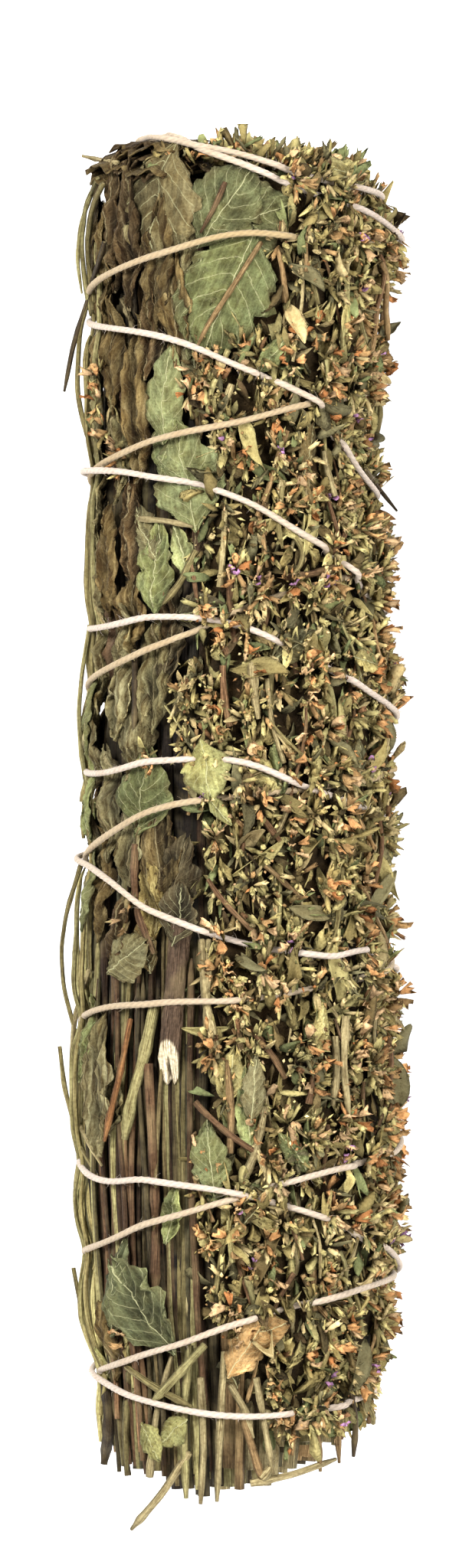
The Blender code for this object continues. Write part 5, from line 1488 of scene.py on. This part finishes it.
class BUNDLE_OT_stems(bpy.types.Operator):
    """Stems in the middle, on the leafy side and standing off it"""

    bl_idname = "bundle.stems"
    bl_label = "Stems"

    def execute(self, _context):
        draw = drawing(2)
        finish = stem_finish("dry_stalk")
        piece("cut_stems", end_stems(draw), finish, ["packed_stems"])
        # Stems lying under the others, tinted very dark as painted shade in the gaps between them.
        under = surface_stems(draw, 46, thetas=(-134, -12), starts=None, ends=(40, 96),
                              rhos=(19.2, 20.3), widths=(0.6, 1.15),
                              names=["umber", "olive_brown", "bark", "rust", "olive"],
                              darkness=(0.08, 0.26), rings=30, sides=6)
        piece("side_stems", under, finish, ["outer_stems"])
        upper = surface_stems(draw, sizes().stem_count, thetas=(-132, -16), starts=None, ends=(-38, 0),
                              rhos=(20.2, 22.0), widths=(0.3, 0.6),
                              names=["olive", "grey_olive", "olive_brown", "rust", "rust", "umber",
                                     "straw_green"],
                              darkness=(0.15, 1.0), drawn_in=False)
        upper += surface_stems(draw, 24, thetas=(-84, -16), starts=(-101, -84), ends=(-36, -12),
                               rhos=(21.6, 22.6), widths=(0.3, 0.55),
                               names=["olive", "straw_green", "olive_brown", "rust", "rust"],
                               darkness=(0.2, 0.95), sway=2.6, drawn_in=False)
        piece("surface_stems", upper, finish, nodes_named("low_stem_"))
        pale = {"names": ["straw_green", "olive", "straw_green", "olive"], "darkness": (0.6, 1.1), "sides": 6}
        stalks = surface_stems(draw, 7, thetas=(-104, -80), starts=(-6, 20), ends=(74, 96),
                               rhos=(22.6, 24.0), widths=(0.28, 0.44), sway=2.4, **pale)
        stalks += surface_stems(draw, 13, thetas=(-104, -74), starts=(-97, -58), ends=(-26, 2),
                                rhos=(22.6, 24.5), widths=(0.3, 0.48), sway=2.0, **pale)
        piece("edge_stalks", stalks, finish, nodes_named("edge_stalk_"))
        courses, heights, radii, names = zip(*NAMED_STEMS, strict=True)
        paths = [seen_from_above(course, height) for course, height in zip(courses, heights, strict=True)]
        named = stems_of(paths, radii, [tone(name) * 0.62 for name in names], draw, rings=28, taper=0.45)
        piece("loose_stems", named, finish, nodes_named("stray_stem_"))
        piece("woody_branch", woody_branch(draw), finish, ["woody_stem"])
        return {"FINISHED"}


class BUNDLE_OT_leaves(bpy.types.Operator):
    """Mint leaves, flat and crumpled, on the leafy side"""

    bl_idname = "bundle.leaves"
    bl_label = "Mint leaves"

    def execute(self, _context):
        draw = drawing(3)
        finish = leaf_finish("flat_leaf", (0.50, 0.48, 0.26), 0.55, 0.6, 0.5, 0.9)
        creased_finish = leaf_finish("creased_leaf", (0.36, 0.29, 0.15), 0.42, 0.28, 1.2, 1.0)
        flat = [mint_leaf(leaf, draw) for leaf in LEAVES if leaf[7] < 2]
        creased = [mint_leaf(leaf, draw) for leaf in LEAVES if leaf[7] > 1]
        hidden = []
        for _ in range(30):
            name = draw.choice(["umber", "olive_brown", "grey_olive", "green", "grey_dark"])
            leaf = (0, draw.uniform(-14, 96), draw.uniform(13, 24), draw.uniform(6, 10),
                    draw.uniform(-9, 9), draw.uniform(0, 0.9), draw.uniform(0.6, 0.95),
                    draw.integers(1, 4), name)
            hidden.append(mint_leaf(leaf, draw, theta=draw.uniform(-137, -84), detail=0.6))
        for _ in range(14):
            leaf = (0, draw.uniform(-90, -20), draw.uniform(9, 17), draw.uniform(4, 7),
                    draw.uniform(-14, 14), draw.uniform(0.2, 0.9), draw.uniform(0.5, 0.9), 2,
                    draw.choice(["olive_brown", "umber", "green"]))
            hidden.append(mint_leaf(leaf, draw, theta=draw.uniform(-137, -88), detail=0.6))
        # Dark leaves tucked below the others in the darkest tones: painted shade in the gaps between the
        # leaves.
        filler = []
        for _ in range(16):
            leaf = (0, draw.uniform(-4, 98), draw.uniform(12, 20), draw.uniform(4, 7),
                    draw.uniform(-8, 8), draw.uniform(-1.2, -0.5), 0.9, 3,
                    draw.choice(["umber", "grey_dark", "bark"]))
            filler.append(mint_leaf(leaf, draw, theta=draw.uniform(-85, -16), detail=0.6))
        flat_nodes = numbered("leaf", 1, 2, 3, 7, 8, 10, 13, 16)
        far_nodes = numbered("leaf", 17, 18, 19)
        rest = [name for name in nodes_named("leaf_") if name not in flat_nodes + far_nodes]
        piece("mint_leaves", flat, finish, flat_nodes, 0.16)
        piece("crumpled_leaves", creased + filler, creased_finish, rest, 0.16)
        piece("far_side_leaves", hidden, creased_finish, far_nodes, 0.16)
        return {"FINISHED"}


class BUNDLE_OT_tops(bpy.types.Operator):
    """Oregano flowering tops: bracts, calyces, florets, small leaves and stalks"""

    bl_idname = "bundle.tops"
    bl_label = "Oregano tops"

    def execute(self, _context):
        draw = drawing(4)
        finish = herb_finish("oregano", 0.5, 0.55, 0.6)
        pitch = sizes().head_pitch / MM
        forms = {"leaf": small_leaves(draw), "bract": bract_forms(draw), "calyx": [calyx_form()],
                 "crumb": [crumb_form()], "petal": [petal_form(draw) for _ in range(8)]}
        for low, high, first in ((-93.5, -43.0, 10), (-43.0, 4.0, 7), (4.0, 69.0, 4), (69.0, 100.0, 1)):
            nodes = numbered("flowering_top", first, first + 1, first + 2)
            theta, y = oregano_centres(draw, pitch, low, high)
            bed = oregano_centres(draw, pitch * 0.86, low, high)
            parts = heads(draw, *bed, forms, BED_LAYERS) + heads(draw, theta, y, forms, BRACT_LAYERS)
            piece(f"oregano_bracts_{first:02d}", settled(parts), finish, nodes)
            parts = heads(draw, theta, y, forms, FLOWER_LAYERS)
            piece(f"oregano_flowers_{first:02d}", settled(parts), finish, nodes)
        strewn = heads(draw, *LEAFY_HEADS.T, forms, STREWN_LAYERS)
        piece("strewn_heads", settled(strewn), finish)
        theta, y = oregano_centres(draw, 10.5)
        n = len(theta)
        rho = 22.0 + draw.uniform(-0.3, 0.8, n) + 0.6 * heaped(theta, y) - 1.5 * smooth(y, 95, 101)
        at = on_bundle(rho, theta, y)
        bearing = draw.normal(0, 40, n) + 180 * draw.integers(0, 2, n)
        axes = axes_at(theta, bearing, draw.uniform(-5, 20, n), draw.uniform(-70, 70, n))
        length = draw.uniform(5.5, 10.5, n)
        size = np.stack([length, length * draw.uniform(0.4, 0.75, n), length * 0.6], -1)
        big = curls(draw, 10, 10, 5, 0.5, 0.03, (0.2, 1.5), (-1.9, 1.9), (-2.2, 2.2), (0.4, 0.6))
        parts = sown(big, draw, at, axes, size, tinted(draw, n, BIG_LEAF_MIX), 0.3)
        piece("oregano_leaves", settled(parts), finish)
        stalk = stem_finish("oregano_stalk")
        theta, y = oregano_centres(draw, 7.8)
        paths, radii, tints = [], [], []
        for centre_theta, centre_y in zip(theta, y, strict=True):
            way = math.radians(draw.normal(0, 24))
            t = np.linspace(-0.5, 0.5, 10) * draw.uniform(5, 16)
            rho = 22.4 + draw.uniform(-0.6, 0.9) + 0.25 * np.sin(t / 2 + draw.uniform(0, 6))
            sway = draw.uniform(-0.02, 0.02) * t**2
            turned = centre_theta + np.degrees((t * math.sin(way) + sway) / SEAT)
            path = on_bundle(rho, turned, np.clip(centre_y + t * math.cos(way), -98, 102))
            paths.append(rested(tucked(path), 0.6))
            radii.append(draw.uniform(0.2, 0.5))
            name = draw.choice(["straw", "straw_green", "tan", "olive", "rust"])
            tints.append(tone(name) * draw.uniform(0.55, 1.05))
        stalks = stems_of(paths, radii, tints, draw, rings=10, sides=5)
        piece("oregano_stalks", stalks, stalk)
        return {"FINISHED"}


class BUNDLE_OT_tip(bpy.types.Operator):
    """The leafy end: leaves folded over it and the ends of the oregano tops"""

    bl_idname = "bundle.tip"
    bl_label = "Tip"

    def execute(self, _context):
        draw = drawing(5)
        finish = leaf_finish("tip_leaf", (0.30, 0.24, 0.13), 0.4, 0.4, 1.1, 1.0)
        folded = []
        rows, columns = 14, 18
        for k in range(14):
            centre = -150 + 10.5 * k + draw.uniform(-4, 4)
            u, v = grid_of(rows, columns)
            reach = draw.uniform(9, 16)
            rho = 21.5 - draw.uniform(0, 5) - reach * u
            spread = draw.uniform(12, 22) * (1 - 0.55 * u)
            angle = centre + v * spread + 6 * np.sin(u * 4 + k)
            y = 99.6 + draw.uniform(0, 2.6) + 1.5 * np.sin(u * 2.4) + 0.8 * np.sin(v * 6 + k + 2 * u)
            y = y + 0.3 * np.sin(v * 19 + k) * u
            points = on_bundle(np.maximum(rho, 0.6) + 0 * v, angle, y)
            name = draw.choice(["umber", "olive_brown", "grey_dark", "umber"])
            colour = 0.55 * tone(name) * (1 + 0.35 * np.sin(v * 9 + 5 * u + k)[..., None])
            runs = paired(v * 6, u * reach / 2.4 - np.abs(v) + 7 * k)
            points = under_tip_twine(points, draw.uniform(103.2, 105.2))
            folded.append((points, sheet_faces(rows, columns), colour, runs))
        for k, (start, end, top, height) in enumerate(TIP_RIMS):
            u, v = grid_of(9, 40, first=0)
            frill = 0.5 * np.sin(v * 23 + k * 2) * (1 - u) + 0.3 * np.sin(v * 51 + k) * (1 - u) ** 2
            rho = top - 1.1 * (2 * v - 1) ** 4 - 9 * u + 0.6 * np.sin(v * 9 + k)
            y = height + 2.2 * u - 0.9 * (1 - u) ** 3 + frill + 0.7 * np.sin(v * 5 + 2 * k)
            points = on_bundle(rho, start + (end - start) * v, y)
            lit = (0.35 + 0.6 * (1 - u) ** 3 + 0.2 * np.sin(v * 14 + k))[..., None]
            colour = tone("umber" if k % 2 else "olive_brown") * lit
            points = under_tip_twine(tucked(points), 105.6 - 0.2 * k)
            folded.append((points, sheet_faces(9, 40), colour, paired(v * 14 - 3, u * 4 + 7 * k)))
        piece("folded_tip_leaves", folded, finish, nodes_named("tip_leaf_"), 0.2)
        count = 800
        rho = 20.5 * np.sqrt(draw.uniform(0, 1, count))
        theta = draw.uniform(-38, 225, count)
        dome = 99.5 + 2.6 * (1 - (rho / 22) ** 2) + draw.uniform(-1, 1, count)
        dome = dome + 3.4 * smooth(rho, 12, 20) * np.exp(-(((theta + 8) / 26) ** 2))
        at = on_bundle(rho, theta, dome)
        tilt = np.degrees(np.arctan2(rho, 14))
        axes = axes_at(theta, draw.normal(0, 55, count), tilt + draw.uniform(-50, 25, count),
                       draw.uniform(0, 360, count))
        length = draw.uniform(2.2, 4.6, count)
        size = np.stack([length, length * 0.42, length * 0.42], -1)
        tints = tinted(draw, count, TIP_MIX)
        kinds = bract_forms(draw)[:5] + [calyx_form()] * 3 + [petal_form(draw) for _ in range(3)]
        parts = [(under_tip_twine(tucked(points), 107.4), *others)
                 for points, *others in sown(kinds, draw, at, axes, size, tints)]
        oregano = herb_finish("tip_oregano", 0.5, 0.55, 0.6)
        piece("tip_florets", parts, oregano, ["tip_spray"])
        return {"FINISHED"}


class BUNDLE_OT_twine(bpy.types.Operator):
    """Cotton twine with its knot, tails and loose fibres"""

    bl_idname = "bundle.twine"
    bl_label = "Twine"

    def execute(self, _context):
        draw = drawing(6)
        colours = bpy.context.scene.bundle_colours
        pair = (tuple(colours.twine_white), tuple(colours.twine_dusty))
        wound, line, along, out, side, colour = twine_parts(pair)
        finish = cotton_finish("cotton_twine")
        turn = np.linspace(0, 2 * math.pi, 40)
        base = squeezed(SEAT + 1.0, np.array(float(KNOT_THETA)), np.array(KNOT_Y))
        middle = KNOT_Y - 0.5
        knot = [placed(base + 0.2 + 0.95 * np.sin(2 * turn), KNOT_THETA + 3.4 * np.cos(turn),
                       middle + 1.6 * np.sin(turn)),
                placed(base + 0.4 + 0.85 * np.cos(turn), KNOT_THETA + 2.2 * np.sin(2 * turn),
                       middle + 1.4 * np.cos(turn))]
        t = np.linspace(0, 6, 24)
        for bearing in (-172, -205):
            way = math.radians(bearing)
            theta = KNOT_THETA + np.degrees(math.sin(way) * t / SEAT) + 1.5 * np.sin(t / 2)
            knot.append(on_bundle(SEAT + 2.0 + 0.05 * t, theta, middle + math.cos(way) * t))
        white = np.array(pair[0]) * 0.9
        tails = stems_of(knot, [TWINE_RADIUS] * 4, [white] * 4, draw, rings=48, sides=10, square=0.06)
        tails = [(points, faces, white, runs) for points, faces, _, runs in tails]
        piece("cotton_twine", [wound, *tails], finish, ["twine"])
        fibres = fibre_parts(draw, line, along, out, side, colour, sizes().fibre_count)
        piece("loose_fibres", [fibres], finish)
        return {"FINISHED"}


class BUNDLE_PT_panel(bpy.types.Panel):
    """Sizes, colours and the steps that build the bundle"""

    bl_idname = "BUNDLE_PT_panel"
    bl_label = "Herb smudge bundle"
    bl_space_type = "VIEW_3D"
    bl_region_type = "UI"
    bl_category = "Herbs"

    def draw(self, context):
        for group in (context.scene.bundle_sizes, context.scene.bundle_colours):
            for name in group.__annotations__:
                self.layout.prop(group, name)
        for step in STEPS:
            self.layout.operator(step.bl_idname)


STEPS = (BUNDLE_OT_stage, BUNDLE_OT_core, BUNDLE_OT_stems, BUNDLE_OT_leaves, BUNDLE_OT_tops,
         BUNDLE_OT_tip, BUNDLE_OT_twine)


def register():
    for kind in (BundleSizes, BundleColours, *STEPS, BUNDLE_PT_panel):
        bpy.utils.register_class(kind)
    bpy.types.Scene.bundle_sizes = bpy.props.PointerProperty(type=BundleSizes)
    bpy.types.Scene.bundle_colours = bpy.props.PointerProperty(type=BundleColours)


def unregister():
    del bpy.types.Scene.bundle_colours
    del bpy.types.Scene.bundle_sizes
    for kind in (BUNDLE_PT_panel, *reversed(STEPS), BundleColours, BundleSizes):
        bpy.utils.unregister_class(kind)


def main():
    register()
    for step in STEPS:
        section, name = step.bl_idname.split(".")
        getattr(getattr(bpy.ops, section), name)()


if __name__ == "__main__":
    main()
